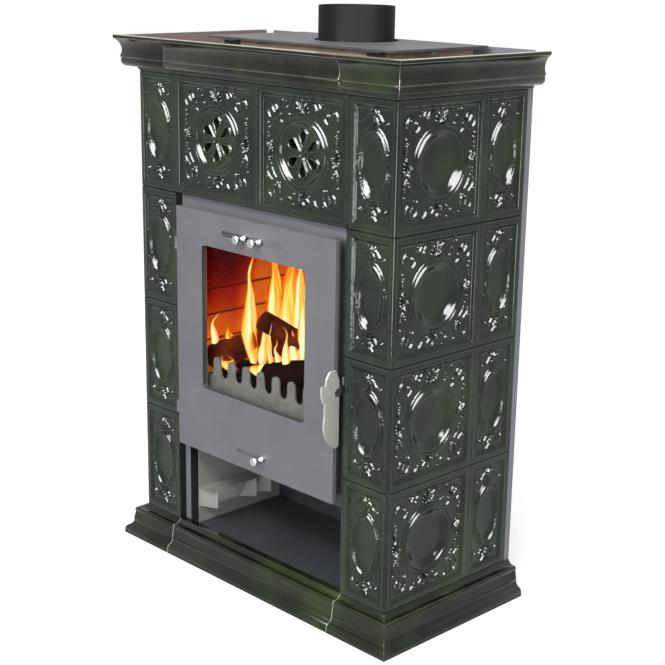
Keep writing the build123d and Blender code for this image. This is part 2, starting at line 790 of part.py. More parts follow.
def guides(x0, x1, z, slot_height):
    """Folded guides above and below a shutter, between the door's face and its inner frame."""
    reach = slot_height / 2 + shutter_lap + shutter_clear
    high = block(x0, x1, door_front + sheet, inner_front, z + reach, z + reach + sheet)
    low = block(x0, x1, door_front + sheet, inner_front, z - reach - sheet, z - reach)
    return high + low


def upper_travel():
    return upper_slot_length / 2 - upper_knob_x - stem_radius - stop_clear


def make_door():
    panel = door_sheet(door_outline(0), door_front, door_back)
    panel -= door_sheet(door_outline(sheet), door_front + sheet, door_back)
    panel += door_sheet(window_outline(sheet), door_front, collar_back)
    panel -= door_sheet(window_outline(0), door_front, collar_back)
    reach = upper_slot_length / 2 + shutter_lap + upper_travel()
    panel += guides(-reach, reach, upper_slot_z, upper_slot_height)
    reach = lower_slot_length + shutter_lap
    panel += guides(-reach, lower_slot_length, lower_slot_z, lower_slot_height)
    panel -= slot_cut(upper_slot_length, upper_slot_height, upper_slot_z)
    panel -= slot_cut(lower_slot_length, lower_slot_height, lower_slot_z)
    panel -= along_x(bolt_radius, door_width / 2 - sheet, door_width / 2)
    save("door_panel", panel)

    inner = door_sheet(door_outline(sheet), inner_front, door_back)
    inner -= door_sheet(window_outline(sheet), inner_front, door_back)
    seal_outer = door_outline(seal_inset)
    seal_inner = door_outline(seal_inset + seal_width)
    channel_end = door_back + channel_depth
    inner += door_sheet(door_outline(seal_inset - sheet) - seal_outer, door_back, channel_end)
    inner += door_sheet(seal_inner - door_outline(seal_inset + seal_width + sheet), door_back, channel_end)
    edge = window_width / 2 + glass_lap
    for z in (window_bottom + clip_inset, window_bottom + window_height - clip_inset - clip_height):
        clip = block(edge, edge + sheet, door_back, glass_back + sheet, z, z + clip_height)
        clip += block(edge - clip_lap, edge + sheet, glass_back, glass_back + sheet, z, z + clip_height)
        inner += clip + mirrored(clip)
    save("door_inner_frame", inner)

    seal_end = frame_front - seal_clear
    save("door_seal", door_sheet(seal_outer - seal_inner, door_back, seal_end))
    save("glass_tape", door_sheet(window_outline(sheet) - window_outline(0), collar_back, glass_front))
    save("door_glass", door_sheet(window_outline(glass_lap), glass_front, glass_back))


def knob(x, z):
    """Waisted knob on a stem through the door's slot, turned about the Y axis."""
    back = door_front + sheet + shutter_clear
    foot = door_front - knob_clear
    foot_end = foot - knob_foot_length
    neck = foot_end - knob_waist_length
    flare = neck - knob_flare_length
    head = flare - knob_head_length
    outline = Polyline(
        (0, back),
        (stem_radius, back),
        (stem_radius, foot),
        (knob_foot_radius, foot),
        (knob_foot_radius, foot_end),
        (knob_neck_radius, neck),
        (knob_head_radius, flare),
        (knob_head_radius, head + knob_edge),
        (knob_head_radius - knob_edge, head),
        (0, head),
        close=True,
    )
    return Pos(x, 0, z) * revolve(make_face(outline), Axis.Y)


def shutter(x0, x1, z, slot_height):
    front = door_front + sheet + shutter_clear
    reach = slot_height / 2 + shutter_lap
    return block(x0, x1, front, front + sheet, z - reach, z + reach)


def make_shutters():
    """Two upper shutters that part in the middle, and one lower shutter, each with its knob."""
    end = upper_slot_length / 2 + shutter_lap
    upper = shutter(shutter_clear, end, upper_slot_z, upper_slot_height) + knob(upper_knob_x, upper_slot_z)
    save_pair("upper_shutter", upper)
    end = lower_slot_length / 2 + shutter_lap
    lower = shutter(-end, end, lower_slot_z, lower_slot_height) + knob(lower_knob_x, lower_slot_z)
    save("lower_shutter", lower)


def upright(radius, z0, z1):
    """A cylinder on the hinge axis."""
    return Pos(hinge_x, hinge_y, (z0 + z1) / 2) * Cylinder(radius, z1 - z0)


def make_hinges():
    """Lift-off hinges: the pin stands on the frame's leaf and the door's knuckle drops over it."""
    for name, z in hinge_heights.items():
        fixed = upright(knuckle_radius, z - knuckle_length, z)
        fixed += block(
            hinge_x - plate / 2, hinge_x + plate / 2, hinge_y, frame_front, z - knuckle_length, z
        )
        fixed += upright(pin_radius, z - knuckle_length, z + knuckle_clear + knuckle_length)
        save(f"frame_hinge_{name}", fixed)
        low = z + knuckle_clear
        moving = upright(knuckle_radius, low, low + knuckle_length)
        moving += block(hinge_x, -door_width / 2, inner_front, door_back, low, low + knuckle_length)
        moving -= upright(pin_radius + pin_clear, low, low + knuckle_length)
        save(f"door_hinge_{name}", moving)


# ---- Handle ----
def along_x(radius, x0, x1):
    """A cylinder on the handle's pivot axis."""
    return Pos((x0 + x1) / 2, pivot_y, pivot_z) * Rot(0, 90, 0) * Cylinder(radius, x1 - x0)


def handle_outline():
    """Lever in front of the door's edge, with a rounded thumb tab at the pivot and a nose behind it."""
    front = door_front - handle_reach
    tab = front - tab_reach
    rear = door_back - side_clear
    nose = pivot_y + nose_reach
    top, bottom = pivot_z + handle_up, pivot_z - handle_down
    tab_top, tab_low = pivot_z + tab_height / 2, pivot_z - tab_height / 2
    waist = pivot_z - lever_waist
    return [
        SagittaArc((front + lever_round, top), (front, tab_top), -lever_top_bow),
        Line((front, tab_top), (tab, tab_top)),
        SagittaArc((tab, tab_top), (tab + tab_lean, tab_low), -tab_bow),
        Polyline((tab + tab_lean, tab_low), (front - lever_step, tab_low), (front - lever_step, waist)),
        SagittaArc((front - lever_step, waist), (front + 2 * lever_round, bottom), -lever_bow),
        Polyline(
            (front + 2 * lever_round, bottom),
            (rear, bottom + lever_foot),
            (rear, pivot_z - nose_half),
            (nose, pivot_z - nose_half),
            (nose, pivot_z + nose_half),
            (rear, pivot_z + nose_half),
            (rear, pivot_z + handle_up / 2),
            (rear - nose_half, top),
            (front + lever_round, top),
        ),
    ]


def make_handle():
    lever = extrude(Plane.YZ.offset(handle_x) * make_face(handle_outline()), amount=handle_thickness)
    lever -= along_x(bolt_radius + pin_clear, handle_x, handle_x + handle_thickness)
    save("door_handle", lever)

    edge = door_width / 2
    outer = handle_x + handle_thickness + side_clear
    keeper_low = pivot_z + nose_half + keeper_clear
    keeper = block(
        handle_x - side_clear, handle_x + handle_thickness + side_clear,
        frame_front - keeper_depth, frame_front, keeper_low, keeper_low + keeper_height,
    )
    save("handle_keeper", keeper)
    bolt = along_x(bolt_radius, edge - sheet, outer)
    bolt += along_x(collar_radius, edge, edge + collar_length)
    bolt += along_x(bolt_head_radius, outer, outer + bolt_head)
    save("handle_bolt", bolt)


make_plinth()
make_tiles()
make_cornice()
make_base_frame()
make_corner_posts()
make_back_panel()
make_front_frame()
make_store()
make_firebox()
make_firebricks()
make_hearth()
make_log_guard()
make_top()
make_door()
make_shutters()
make_hinges()
make_handle()
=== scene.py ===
"""Tiled stove: the finish of the glazed tiles, the painted steel and the fire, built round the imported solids."""
import math

import bmesh
import bpy
import numpy as np
from mathutils import Matrix, Vector, noise


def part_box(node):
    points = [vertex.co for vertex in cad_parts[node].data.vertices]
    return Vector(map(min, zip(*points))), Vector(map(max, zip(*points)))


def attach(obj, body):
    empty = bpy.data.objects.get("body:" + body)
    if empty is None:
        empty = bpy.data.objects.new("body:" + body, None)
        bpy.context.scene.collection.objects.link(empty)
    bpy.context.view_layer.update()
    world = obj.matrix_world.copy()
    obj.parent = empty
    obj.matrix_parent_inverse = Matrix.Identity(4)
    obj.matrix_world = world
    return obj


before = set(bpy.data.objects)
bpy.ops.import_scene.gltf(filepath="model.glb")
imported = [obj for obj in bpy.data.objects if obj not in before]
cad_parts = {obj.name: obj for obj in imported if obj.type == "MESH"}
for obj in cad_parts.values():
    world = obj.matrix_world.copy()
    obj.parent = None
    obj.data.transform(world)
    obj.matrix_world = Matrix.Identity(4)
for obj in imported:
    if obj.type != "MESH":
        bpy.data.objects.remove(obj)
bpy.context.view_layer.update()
MM = 0.001
WAVE = 2 * math.pi / 20  # metres between the lines of a wave texture of scale 1

# ---- Sizes, in millimetres ----
GRID = 1.3  # spacing of the points on a pressed tile face
HOLE_SNAP = 1.6 * GRID  # points this near to an opening's outline move onto it
SKIN_LIFT = 0.25  # the glaze lies this much proud of the tile's body
SKIN_BACK = 12.5  # depth of a face's closed back, inside the tile's wall
FACE_EDGE = 0.8  # a face ends this far from the tile's edge
ROUND_EDGE = 5.0  # rounding between a corner tile's two faces
ROW_EDGE = 1.6  # bevel above and below
WIDE_HALF = 104.0  # half the width of a corner tile's side face
VENT_HALF = 110.0  # the same of a vent tile
NARROW_HALF = 52.5  # the same of a half tile and of a corner tile's front
TILE_HALF = 106.0  # half the height of every tile
PANEL_DEPTH = 3.75
WIDE_RING = 64.6  # outer radius of the ring round the wide dish
VENT_RING = 64.2  # the same round the rosette
OVAL = (29.0, 53.0)  # half axes of the narrow dish
OVAL_RING = (-1.4, 9.4)  # where its ring starts and ends, from the oval outwards
STROKE_FULL = 2.0  # half width from which a stroke has its full height
WIDE_STROKE = 3.4  # height of the ornament's strokes
NARROW_STROKE = 3.2
PETAL_STROKE = 3.6
VENT_SPREAD = 1.03  # the vent tile's ornament is this much wider
PETALS = 6
PETAL_CENTRE = 31.0  # from the middle of the rosette
PETAL_RADIUS = 7.5  # of a petal's round end
PETAL_POINT = 20.0  # from the round end's centre in to the point
PETAL_INSET = 0.3  # the face's opening is this much smaller than the outline
RIM_OUT = 1.6  # the petals' rims run this far outside the outline
RIM_HALF = 2.3  # half width of such a rim
CREST_GAIN = 1.3  # crest per millimetre above the neighbours
JOINT_WIDTH = 1.4  # mortar between the lengths of the mouldings
JOINT_PROUD = 0.3
JOINT_INSET = 0.2  # the mortar's slice starts this far inside the length's end
WELD = 0.01  # points closer than this are one
EDGE_ROUND = 0.8  # rounding on the mouldings
MARGIN = 1.0  # a face this far inside a plane belongs to it
FRAME_CUT = -200.0  # painted shade: the front plate's cut edge left of this x is black
HANDLE_SHANK = -150.0  # painted shade: the handle behind this y is black
STORE_SHADE_FROM = (100.0, 80.0)  # painted shade: the store's sheets beyond this x or this y are dark
BRICK_COURSE = 47.5
KNIT_RIB = 6.9272  # twice as coarse as the real rope's, so that it shows
SPRAY_GRAIN = 1.2  # coarser than the real coat's, for the same reason
SPRAY_TOOTH = 0.03  # height of that grain
LOG_CRACKS, EMBER_CRACKS = 20.0, 14.0

# ---- Angles, in degrees ----
PETAL_ANGLE = 60.0  # between a petal's axis and the ends of its round part
FACE_CREASE = 50.0  # faces that meet at more than this make a sharp edge, on a tile
PIECE_CREASE = 40.0  # the same on logs and mortar
EMBER_CREASE = 60.0  # the same on the ember bed
FLAME_CREASE = 180.0  # a flame is smooth all over
EDGE_CREASE = 24.0  # an edge of the mouldings that turns more than this is rounded

# ---- Which way a face looks, as the share of its normal along an axis ----
SQUARE = 0.9  # from here on it looks along the axis
LEANING = 0.3  # from here on it leans that way
ACROSS = 0.5  # below this it looks across the axis

# ---- Counts ----
ROWS = 4  # of tiles
CREST_ROUNDS = 6  # of averaging with the neighbours
ARC_POINTS = 24  # in a petal's round part

# ---- Sizes and heights of the fire, in metres ----
LOG_ASH = 0.30  # no glow below this height
EMBER_ASH = 0.375
ASH_FADE = 0.015
BRICK_BRIGHTEST, BRICK_DARKEST = 0.40, 0.62  # heights of the brightest and of the darkest painted firelight on the brick
BED_SIDE, BED_FRONT, BED_LIFT = 0.002, 0.004, 0.0005  # gaps round the embers and under them

# ---- Light ----
ROOM_LIGHT = 0.58  # strength of the even light
FLOOR_LIFT = 0.40  # how much brighter than lit the floor looks in gloss and glass
FLOOR_SEEN = 0.46  # the same for the camera
FLOOR_HALF = 14.0  # metres
FLOOR_DROP = 0.0005  # metres below the stove's foot
LAMP_AIM = (0, 0, 0.55)  # metres

# ---- Camera of the photograph ----
CAMERA_PLACE = (1.7646, -1.6848, 1.1257)
CAMERA_AZIMUTH = 45.669
CAMERA_ELEVATION = 15.384
CAMERA_ROLL = 0.929
CAMERA_LENS = 75.25
CAMERA_SENSOR = 36.0
CAMERA_REACH = 50.0  # metres


# ---- Finishes: a pattern's scale is 1000 over its grain in millimetres ----
def linear(code):
    """An sRGB hex colour as the linear values that a shader takes."""
    values = [int(code[i : i + 2], 16) / 255 for i in (1, 3, 5)]
    return (*(v / 12.92 if v <= 0.04045 else ((v + 0.055) / 1.055) ** 2.4 for v in values), 1.0)


def add(tree, kind, inputs=None, output=0, stops=None, **settings):
    """Adds a node with its settings, links and colour stops, and returns one of its outputs."""
    node = tree.nodes.new("ShaderNode" + kind)
    for name, value in settings.items():
        setattr(node, name, value)
    for name, value in (inputs or {}).items():
        if isinstance(value, bpy.types.NodeSocket):
            tree.links.new(value, node.inputs[name])
        else:
            node.inputs[name].default_value = value
    for i, (place, code) in enumerate(stops or ()):
        element = node.color_ramp.elements[i] if i < 2 else node.color_ramp.elements.new(place)
        element.position, element.color = place, linear(code)
    return node.outputs[output] if node.outputs else node


def finish(name, recipe, **sockets):
    """A material; its recipe works out the linked inputs, and the plain ones are given here."""
    made = bpy.data.materials.new(name)
    made.use_nodes = True
    tree = made.node_tree
    tree.nodes.clear()
    inputs = {key.replace("_", " "): value for key, value in sockets.items()}
    inputs.update(recipe(tree))
    add(tree, "OutputMaterial", {"Surface": add(tree, "BsdfPrincipled", inputs)})
    return made


def glaze(deep, body, thin, mossy):
    """Lead glaze over pressed faience: it pools dark in patches, thins on the crests and runs mossy in places."""

    def recipe(tree):
        place = add(tree, "TexCoord", output="Object")
        pools = add(tree, "TexNoise", {"Vector": place, "Scale": 1000 / 60, "Detail": 3.0})
        runs = add(tree, "TexNoise", {"Vector": place, "Scale": 1000 / 150, "Detail": 2.0})
        break_up = add(tree, "TexNoise", {"Vector": place, "Scale": 1000 / 5})
        pooled = add(tree, "ValToRGB", {"Fac": pools}, stops=((0.35, deep), (0.65, body)))
        moss = add(tree, "MapRange", {"Value": runs, "From Min": 0.5, "From Max": 0.72, "To Max": 0.85})
        stained = add(tree, "Mix", {0: moss, 6: pooled, 7: linear(mossy)}, 2, data_type="RGBA")
        crest = add(tree, "Attribute", output="Fac", attribute_name="crest")
        worn = add(tree, "Math", {0: crest, 1: break_up}, operation="MULTIPLY")
        bare = add(tree, "MapRange", {"Value": worn, "From Min": 0.2, "From Max": 0.65, "To Max": 0.2})
        colour = add(tree, "Mix", {0: bare, 6: stained, 7: linear(thin)}, 2, data_type="RGBA")
        waves = add(tree, "TexNoise", {"Vector": place, "Scale": 1000 / 9, "Detail": 2.0})
        normal = add(tree, "Bump", {"Height": waves, "Distance": 0.22 * MM})
        return {"Base Color": colour, "Normal": normal}

    return recipe


def sprayed(shade, light):
    """Heat-proof silicone paint on sheet steel: even and matt, with the fine grain of a sprayed coat."""

    def recipe(tree):
        place = add(tree, "TexCoord", output="Object")
        clouds = add(tree, "TexNoise", {"Vector": place, "Scale": 1000 / 90})
        mist = add(tree, "TexNoise", {"Vector": place, "Scale": 1000 / SPRAY_GRAIN})
        colour = add(tree, "ValToRGB", {"Fac": clouds}, stops=((0.3, shade), (0.7, light)))
        return {"Base Color": colour, "Normal": add(tree, "Bump", {"Height": mist, "Distance": SPRAY_TOOTH * MM})}

    return recipe


def plate_with_painted_shade(tree):
    """Painted sheet steel behind the door: grey above it, darkened by painted shade in the gap beside the handle."""
    place = add(tree, "TexCoord", output="Object")
    mist = add(tree, "TexNoise", {"Vector": place, "Scale": 1000 / SPRAY_GRAIN})
    # The painted shade grows from x = 0.17 to 0.19 metres, and from z = 0.68 down to 0.672
    across = add(tree, "SeparateXYZ", {"Vector": place}, "X")
    height = add(tree, "SeparateXYZ", {"Vector": place}, "Z")
    beside = add(tree, "MapRange", {"Value": across, "From Min": 0.17, "From Max": 0.19})
    below = add(tree, "MapRange", {"Value": height, "From Min": 0.68, "From Max": 0.672})
    share = add(tree, "Math", {0: beside, 1: below}, operation="MULTIPLY")
    return {
        "Base Color": add(tree, "ValToRGB", {"Fac": share}, stops=((0.0, "#72747d"), (1.0, "#1f2224"))),
        "Normal": add(tree, "Bump", {"Height": mist, "Distance": SPRAY_TOOTH * MM}),
    }


def fired(dark, body, pale):
    """Unglazed fired clay: chalky and grainy, clouded by the kiln."""

    def recipe(tree):
        place = add(tree, "TexCoord", output="Object")
        clouds = add(tree, "TexNoise", {"Vector": place, "Scale": 1000 / 35, "Detail": 5.0})
        grog = add(tree, "TexNoise", {"Vector": place, "Scale": 1000 / 3, "Detail": 4.0})
        colour = add(tree, "ValToRGB", {"Fac": clouds}, stops=((0.3, dark), (0.75, pale), (0.5, body)))
        return {"Base Color": colour, "Normal": add(tree, "Bump", {"Height": grog, "Distance": 0.5 * MM})}

    return recipe


def firelit_brick(tree):
    """Fireclay brick with the fire's light painted on: orange near the embers and at the back, blood red above and dark
    at the top; it also glows faintly in these colours.
    """
    place = add(tree, "TexCoord", output="Object")
    height = add(tree, "SeparateXYZ", {"Vector": place}, "Z")
    depth = add(tree, "SeparateXYZ", {"Vector": place}, "Y")
    unevenness = add(tree, "TexNoise", {"Vector": place, "Scale": 1000 / 70, "Detail": 4.0})
    wander = add(tree, "MapRange", {"Value": unevenness, "From Min": 0.3, "From Max": 0.7, "To Min": -0.02, "To Max": 0.02})
    # Brighter painted firelight from y = -0.05 metres to the back, as if 0.12 metres lower down
    lit_deeper = add(tree, "MapRange", {"Value": depth, "From Min": -0.05, "From Max": 0.01, "To Max": -0.12})
    level = add(tree, "Math", {0: height, 1: add(tree, "Math", {0: wander, 1: lit_deeper})})
    share = add(tree, "MapRange", {"Value": level, "From Min": BRICK_BRIGHTEST, "From Max": BRICK_DARKEST})
    fire_colours = (0.0, "#ff9424"), (1.0, "#220101"), (0.2, "#ec6c0c"), (0.4, "#a41c02"), (0.65, "#6c0301")
    firelit = add(tree, "ValToRGB", {"Fac": share}, stops=fire_colours)
    scale = WAVE / (BRICK_COURSE * MM)
    courses = add(tree, "TexWave", {"Vector": place, "Scale": scale, "Phase Offset": 0.2}, "Fac", bands_direction="Z")
    brick = add(tree, "MapRange", {"Value": courses, "From Max": 0.04})
    colour = add(tree, "Mix", {0: brick, 6: linear("#640e02"), 7: firelit}, 2, data_type="RGBA")
    grog = add(tree, "TexNoise", {"Vector": place, "Scale": 1000 / 4, "Detail": 4.0})
    normal = add(tree, "Bump", {"Height": grog, "Distance": 0.4 * MM})
    return {"Base Color": colour, "Emission Color": colour, "Normal": normal}


def ground(code, line, along, low, high):
    """Ground metal: satin, with the fine lines of the belt drawn coarse enough to show."""

    def recipe(tree):
        place = add(tree, "TexCoord", output="Object")
        stretched = add(tree, "Mapping", {"Vector": place, "Scale": along})
        lines = add(tree, "TexNoise", {"Vector": stretched, "Scale": 1000 / line, "Detail": 2.0})
        rough = add(tree, "MapRange", {"Value": lines, "From Min": 0.3, "From Max": 0.7, "To Min": low, "To Max": high})
        share = add(tree, "MapRange", {"Value": lines, "From Min": 0.2, "From Max": 0.8, "To Max": 0.3})
        colour = add(tree, "Mix", {0: share, 6: linear(code), 7: linear("#8a8883")}, 2, data_type="RGBA")
        return {"Base Color": colour, "Roughness": rough}

    return recipe


def sand_cast(tree):
    """Sand-cast iron: grey-green, grainy and matt."""
    place = add(tree, "TexCoord", output="Object")
    patches = add(tree, "TexNoise", {"Vector": place, "Scale": 1000 / 12, "Detail": 4.0})
    sand = add(tree, "TexNoise", {"Vector": place, "Scale": 1000 / 1.5, "Detail": 3.0})
    colour = add(tree, "ValToRGB", {"Fac": patches}, stops=((0.3, "#5c5b56"), (0.7, "#74736d")))
    return {"Base Color": colour, "Normal": add(tree, "Bump", {"Height": sand, "Distance": 0.2 * MM})}


def clear_pane(tree):
    """Ceramic fire glass: clear, with the faintest brown of the smoke."""
    place = add(tree, "TexCoord", output="Object")
    smoke = add(tree, "TexNoise", {"Vector": place, "Scale": 1000 / 120})
    colour = add(tree, "ValToRGB", {"Fac": smoke}, stops=((0.3, "#171412"), (0.8, "#221c16")))
    return {"Base Color": colour}


def knitted(tree):
    """Knitted glass rope: dark grey, with the ribs of the knit."""
    place = add(tree, "TexCoord", output="Object")
    knit = add(tree, "TexWave", {"Vector": place, "Scale": WAVE / (KNIT_RIB * MM), "Distortion": 1.0}, "Fac")
    colour = add(tree, "ValToRGB", {"Fac": knit}, stops=((0.2, "#141414"), (0.8, "#3a3936")))
    return {"Base Color": colour, "Normal": add(tree, "Bump", {"Height": knit, "Distance": 0.6 * MM})}


def burning(crust, glow, size, ash_line):
    """Charred wood and embers: a dark crust with light from its cracks (size in mm), dead below the ash line."""

    def recipe(tree):
        place = add(tree, "TexCoord", output="Object")
        skin = add(tree, "TexNoise", {"Vector": place, "Scale": 1000 / size / 1.5, "Detail": 5.0})
        cracks = add(tree, "TexNoise", {"Vector": place, "Scale": 1000 / size, "Detail": 5.0, "Roughness": 0.65})
        rough = add(tree, "TexNoise", {"Vector": place, "Scale": 3000 / size, "Detail": 4.0})
        height = add(tree, "SeparateXYZ", {"Vector": place}, "Z")
        alive = add(tree, "MapRange", {"Value": height, "From Min": ash_line, "From Max": ash_line + ASH_FADE})
        drawn = add(tree, "Math", {0: cracks, 1: alive}, operation="MULTIPLY")
        return {
            "Base Color": add(tree, "ValToRGB", {"Fac": skin}, stops=crust),
            "Emission Color": add(tree, "ValToRGB", {"Fac": drawn}, stops=glow),
            "Normal": add(tree, "Bump", {"Height": rough, "Distance": 1.5 * MM}),
        }

    return recipe


def flaming(tree):
    """Burning wood gas: yellow-white in the middle, orange round it, in tall wisps that thin out to nothing."""
    place = add(tree, "TexCoord", output="Object")
    stretched = add(tree, "Mapping", {"Vector": place, "Scale": (1.0, 1.0, 0.14)})
    wisps = add(tree, "TexNoise", {"Vector": stretched, "Scale": 1000 / 18, "Detail": 2.0, "Distortion": 0.5})
    fierce = add(tree, "Attribute", output="Fac", attribute_name="fierceness")
    spread = {"Value": wisps, "From Min": 0.3, "From Max": 0.7, "To Min": -0.34, "To Max": 0.34}
    burn = add(tree, "Math", {0: fierce, 1: add(tree, "MapRange", spread, clamp=False)})
    fire_colours = (
        (0.0, "#c03000"), (1.0, "#fff4c0"), (0.25, "#e86408"), (0.5, "#ff9a20"), (0.7, "#ffc844"), (0.85, "#ffe488")
    )  # fmt: skip
    return {
        "Emission Color": add(tree, "ValToRGB", {"Fac": burn}, stops=fire_colours),
        "Alpha": add(tree, "MapRange", {"Value": burn, "From Max": 0.6, "To Max": 0.95}),
    }


# Lead glaze on the tiles: wet, smooth as glass and nearly black in the hollows
GLAZE = finish("green_glazed_faience", glaze("#0f1812", "#1c291e", "#56664f", "#2b3b1e"), Roughness=0.12, IOR=1.36)
# The same on the mouldings, more olive and with broader gleams
OLIVE = glaze("#0b0f09", "#1a2113", "#5a5c4a", "#33421a")
TRIM_GLAZE = finish("green_glazed_moulding", OLIVE, Roughness=0.14, IOR=1.33)
# Painted highlight on the top faces of the cornice: a pale line round the top
RIM_HIGHLIGHT = finish("painted_highlight_on_rim", glaze("#b09c84", "#cdbba4", "#e6dac8", "#a8a488"), Roughness=0.2, IOR=1.4)
# Glaze drawn thin over an edge, paler also as a painted highlight: a grey-green line that catches the light
EDGE_GLAZE_AND_HIGHLIGHT = finish("thin_glaze_and_painted_highlight", glaze("#505244", "#6c6c5c", "#98957f", "#5c6046"), Roughness=0.2, IOR=1.4)
# Unglazed clay inside: dull, dark and red
BISCUIT = finish("red_biscuit_ware", fired("#180705", "#30110b", "#461d14"), Roughness=0.9)
# Silicone paints, all matt: the door, mid grey with a soft sheen;
DOOR_PAINT = finish("grey_stove_paint", sprayed("#68686e", "#717177"), Roughness=0.5, Specular_IOR_Level=0.3)
# the front plate, a shade paler, darkened by painted shade beside the handle;
PLATE_PAINT = finish("grey_plate_paint", plate_with_painted_shade, Roughness=0.55)
# the carcass, even and bluish grey;
CARCASS_PAINT = finish("grey_carcass_paint", sprayed("#6d6f78", "#777982"), Roughness=0.55)
# the store's walls, the palest;
STORE_WALL_PAINT = finish("grey_store_paint", sprayed("#9a9894", "#a8a5a0"), Roughness=0.55)
# black, used also as painted shade on cut edges, the handle's shank, the window's collar and a shutter plate;
BLACK_AND_SHADE_PAINT = finish("black_paint_and_painted_shade", sprayed("#1d1f21", "#2a2d30"), Roughness=0.5)
# dark paint with the glossiest coat, on the base frame and as painted shade deep in the store;
DARK_PAINT_AND_STORE_SHADE = finish("dark_paint_and_store_shade", sprayed("#3a3e43", "#454a50"), Roughness=0.45)
# the flue, dead black;
FLUE_PAINT = finish("satin_flue_paint", sprayed("#141518", "#1a1b1e"), Roughness=0.55, Specular_IOR_Level=0.06)
# the top, flat grey
TOP_PAINT = finish("grey_top_paint", sprayed("#5e5e60", "#68686a"), Roughness=0.5, Specular_IOR_Level=0.1)
# Fireclay round the fire: the fire's light painted into its colour, which also glows a little
BRICK = finish("fireclay_brick", firelit_brick, Roughness=0.95, Specular_IOR_Level=0.0, Emission_Strength=0.16)
# Fireclay away from the fire: pale and chalky
STORAGE = finish("storage_fireclay", fired("#c4a484", "#dec2a2", "#eed8bc"), Roughness=0.9)
# Iron as cast: rough, dull and grey-green
IRON = finish("cast_iron", sand_cast, Metallic=0.2, Roughness=0.62)
# Galvanised sheet: a cloudy mirror
ZINC = finish("zinc_sheet", ground("#b8b8b6", 6.0, (0.2, 1.0, 1.0), 0.33, 0.47), Metallic=1.0)
# Nickelled steel: satin, with lines along it
STEEL = finish("satin_nickel_steel", ground("#aeaca6", 1.6, (1.0, 1.0, 0.1), 0.42, 0.55), Metallic=0.45)
# Polished steel: a clear mirror
CHROME = finish("polished_knob_steel", ground("#b4b4b4", 2.0, (1.0, 1.0, 1.0), 0.08, 0.16), Metallic=1.0)
# Ceramic glass: all but unseen, save for its gloss
GLASS = finish("ceramic_glass", clear_pane, Roughness=0.03, IOR=1.5, Alpha=0.05)
# Glass rope: dark, ribbed and without any gloss
ROPE = finish("glass_rope", knitted, Roughness=0.95)
# The fire: charcoal red from within, a darker log, the bright bed and see-through flames
DULL = {"Roughness": 0.95, "Specular_IOR_Level": 0.0}
CHAR_GLOW = (0.5, "#000000"), (1.0, "#ff8a20"), (0.64, "#3a0c00"), (0.78, "#b03800")
DARK_CHAR_GLOW = (0.5, "#000000"), (1.0, "#ff8a20"), (0.68, "#200300"), (0.8, "#801c00")
EMBER_GLOW = (0.36, "#080000"), (0.8, "#fff0a8"), (0.46, "#c02c00"), (0.54, "#ff7a10"), (0.64, "#ffc040")
charred = burning(((0.35, "#360c04"), (0.7, "#86300e")), CHAR_GLOW, LOG_CRACKS, LOG_ASH)
dark_charred = burning(((0.35, "#0c0202"), (0.7, "#1c0604")), DARK_CHAR_GLOW, LOG_CRACKS, LOG_ASH)
embers = burning(((0.35, "#080302"), (0.7, "#1c0a05")), EMBER_GLOW, EMBER_CRACKS, EMBER_ASH)
CHAR = finish("charred_log", charred, Emission_Strength=0.5, **DULL)
DARK_CHAR = finish("darker_charred_log", dark_charred, Emission_Strength=0.5, **DULL)
EMBER = finish("ember_bed", embers, Emission_Strength=1.0, **DULL)
BLACK, WHITE = linear("#000000"), linear("#ffffff")
FLAME = finish("flame", flaming, Base_Color=BLACK, Specular_IOR_Level=0.0, Roughness=1.0, Emission_Strength=1.25)
# Mortar: sandy lines, pale in the plinth and green in the cornice
MORTAR = finish("pale_joint_mortar", fired("#8f8f80", "#b4b4a2", "#d2d2c2"), Roughness=0.9)
DARK_MORTAR = finish("green_joint_mortar", fired("#10120e", "#22251c", "#34372c"), Roughness=0.8)

FINISHES = {
    "plinth": TRIM_GLAZE, "corner_tile": GLAZE, "half_tile": GLAZE, "vent_tile": GLAZE, "cornice": TRIM_GLAZE,
    "base_frame": DARK_PAINT_AND_STORE_SHADE, "corner_post": CARCASS_PAINT, "back_panel": CARCASS_PAINT,
    "front_frame": PLATE_PAINT, "store_liner": STORE_WALL_PAINT, "firebox_shell": CARCASS_PAINT,
    "firebox_top": CARCASS_PAINT, "top_plate": TOP_PAINT, "flue_pipe": FLUE_PAINT, "firebrick": BRICK,
    "baffle_plate": BRICK, "hearth_floor": BRICK, "storage_block": STORAGE, "grate": IRON, "log_guard": IRON,
    "ash_pan": ZINC, "frame_hinge": CARCASS_PAINT, "door_panel": DOOR_PAINT, "door_inner_frame": DOOR_PAINT,
    "door_hinge": DOOR_PAINT, "door_seal": ROPE, "glass_tape": ROPE, "door_glass": GLASS, "handle_bolt": BLACK_AND_SHADE_PAINT,
    "handle_keeper": STEEL, "door_handle": STEEL, "upper_shutter": CHROME, "lower_shutter": CHROME,
}  # fmt: skip


def finish_nodes():
    """Every carried-over node gets the finish of its kind."""
    for name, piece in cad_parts.items():
        kind = max((k for k in FINISHES if name.startswith(k)), key=len)
        piece.data.materials.clear()
        piece.data.materials.append(FINISHES[kind])


def finish_faces(name, second, chosen):
    """The faces of a node that a test picks get a second finish."""
    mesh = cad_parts[name].data
    mesh.materials.append(second)
    for face in mesh.polygons:
        if chosen(face.center / MM, face.normal):
            face.material_index = len(mesh.materials) - 1


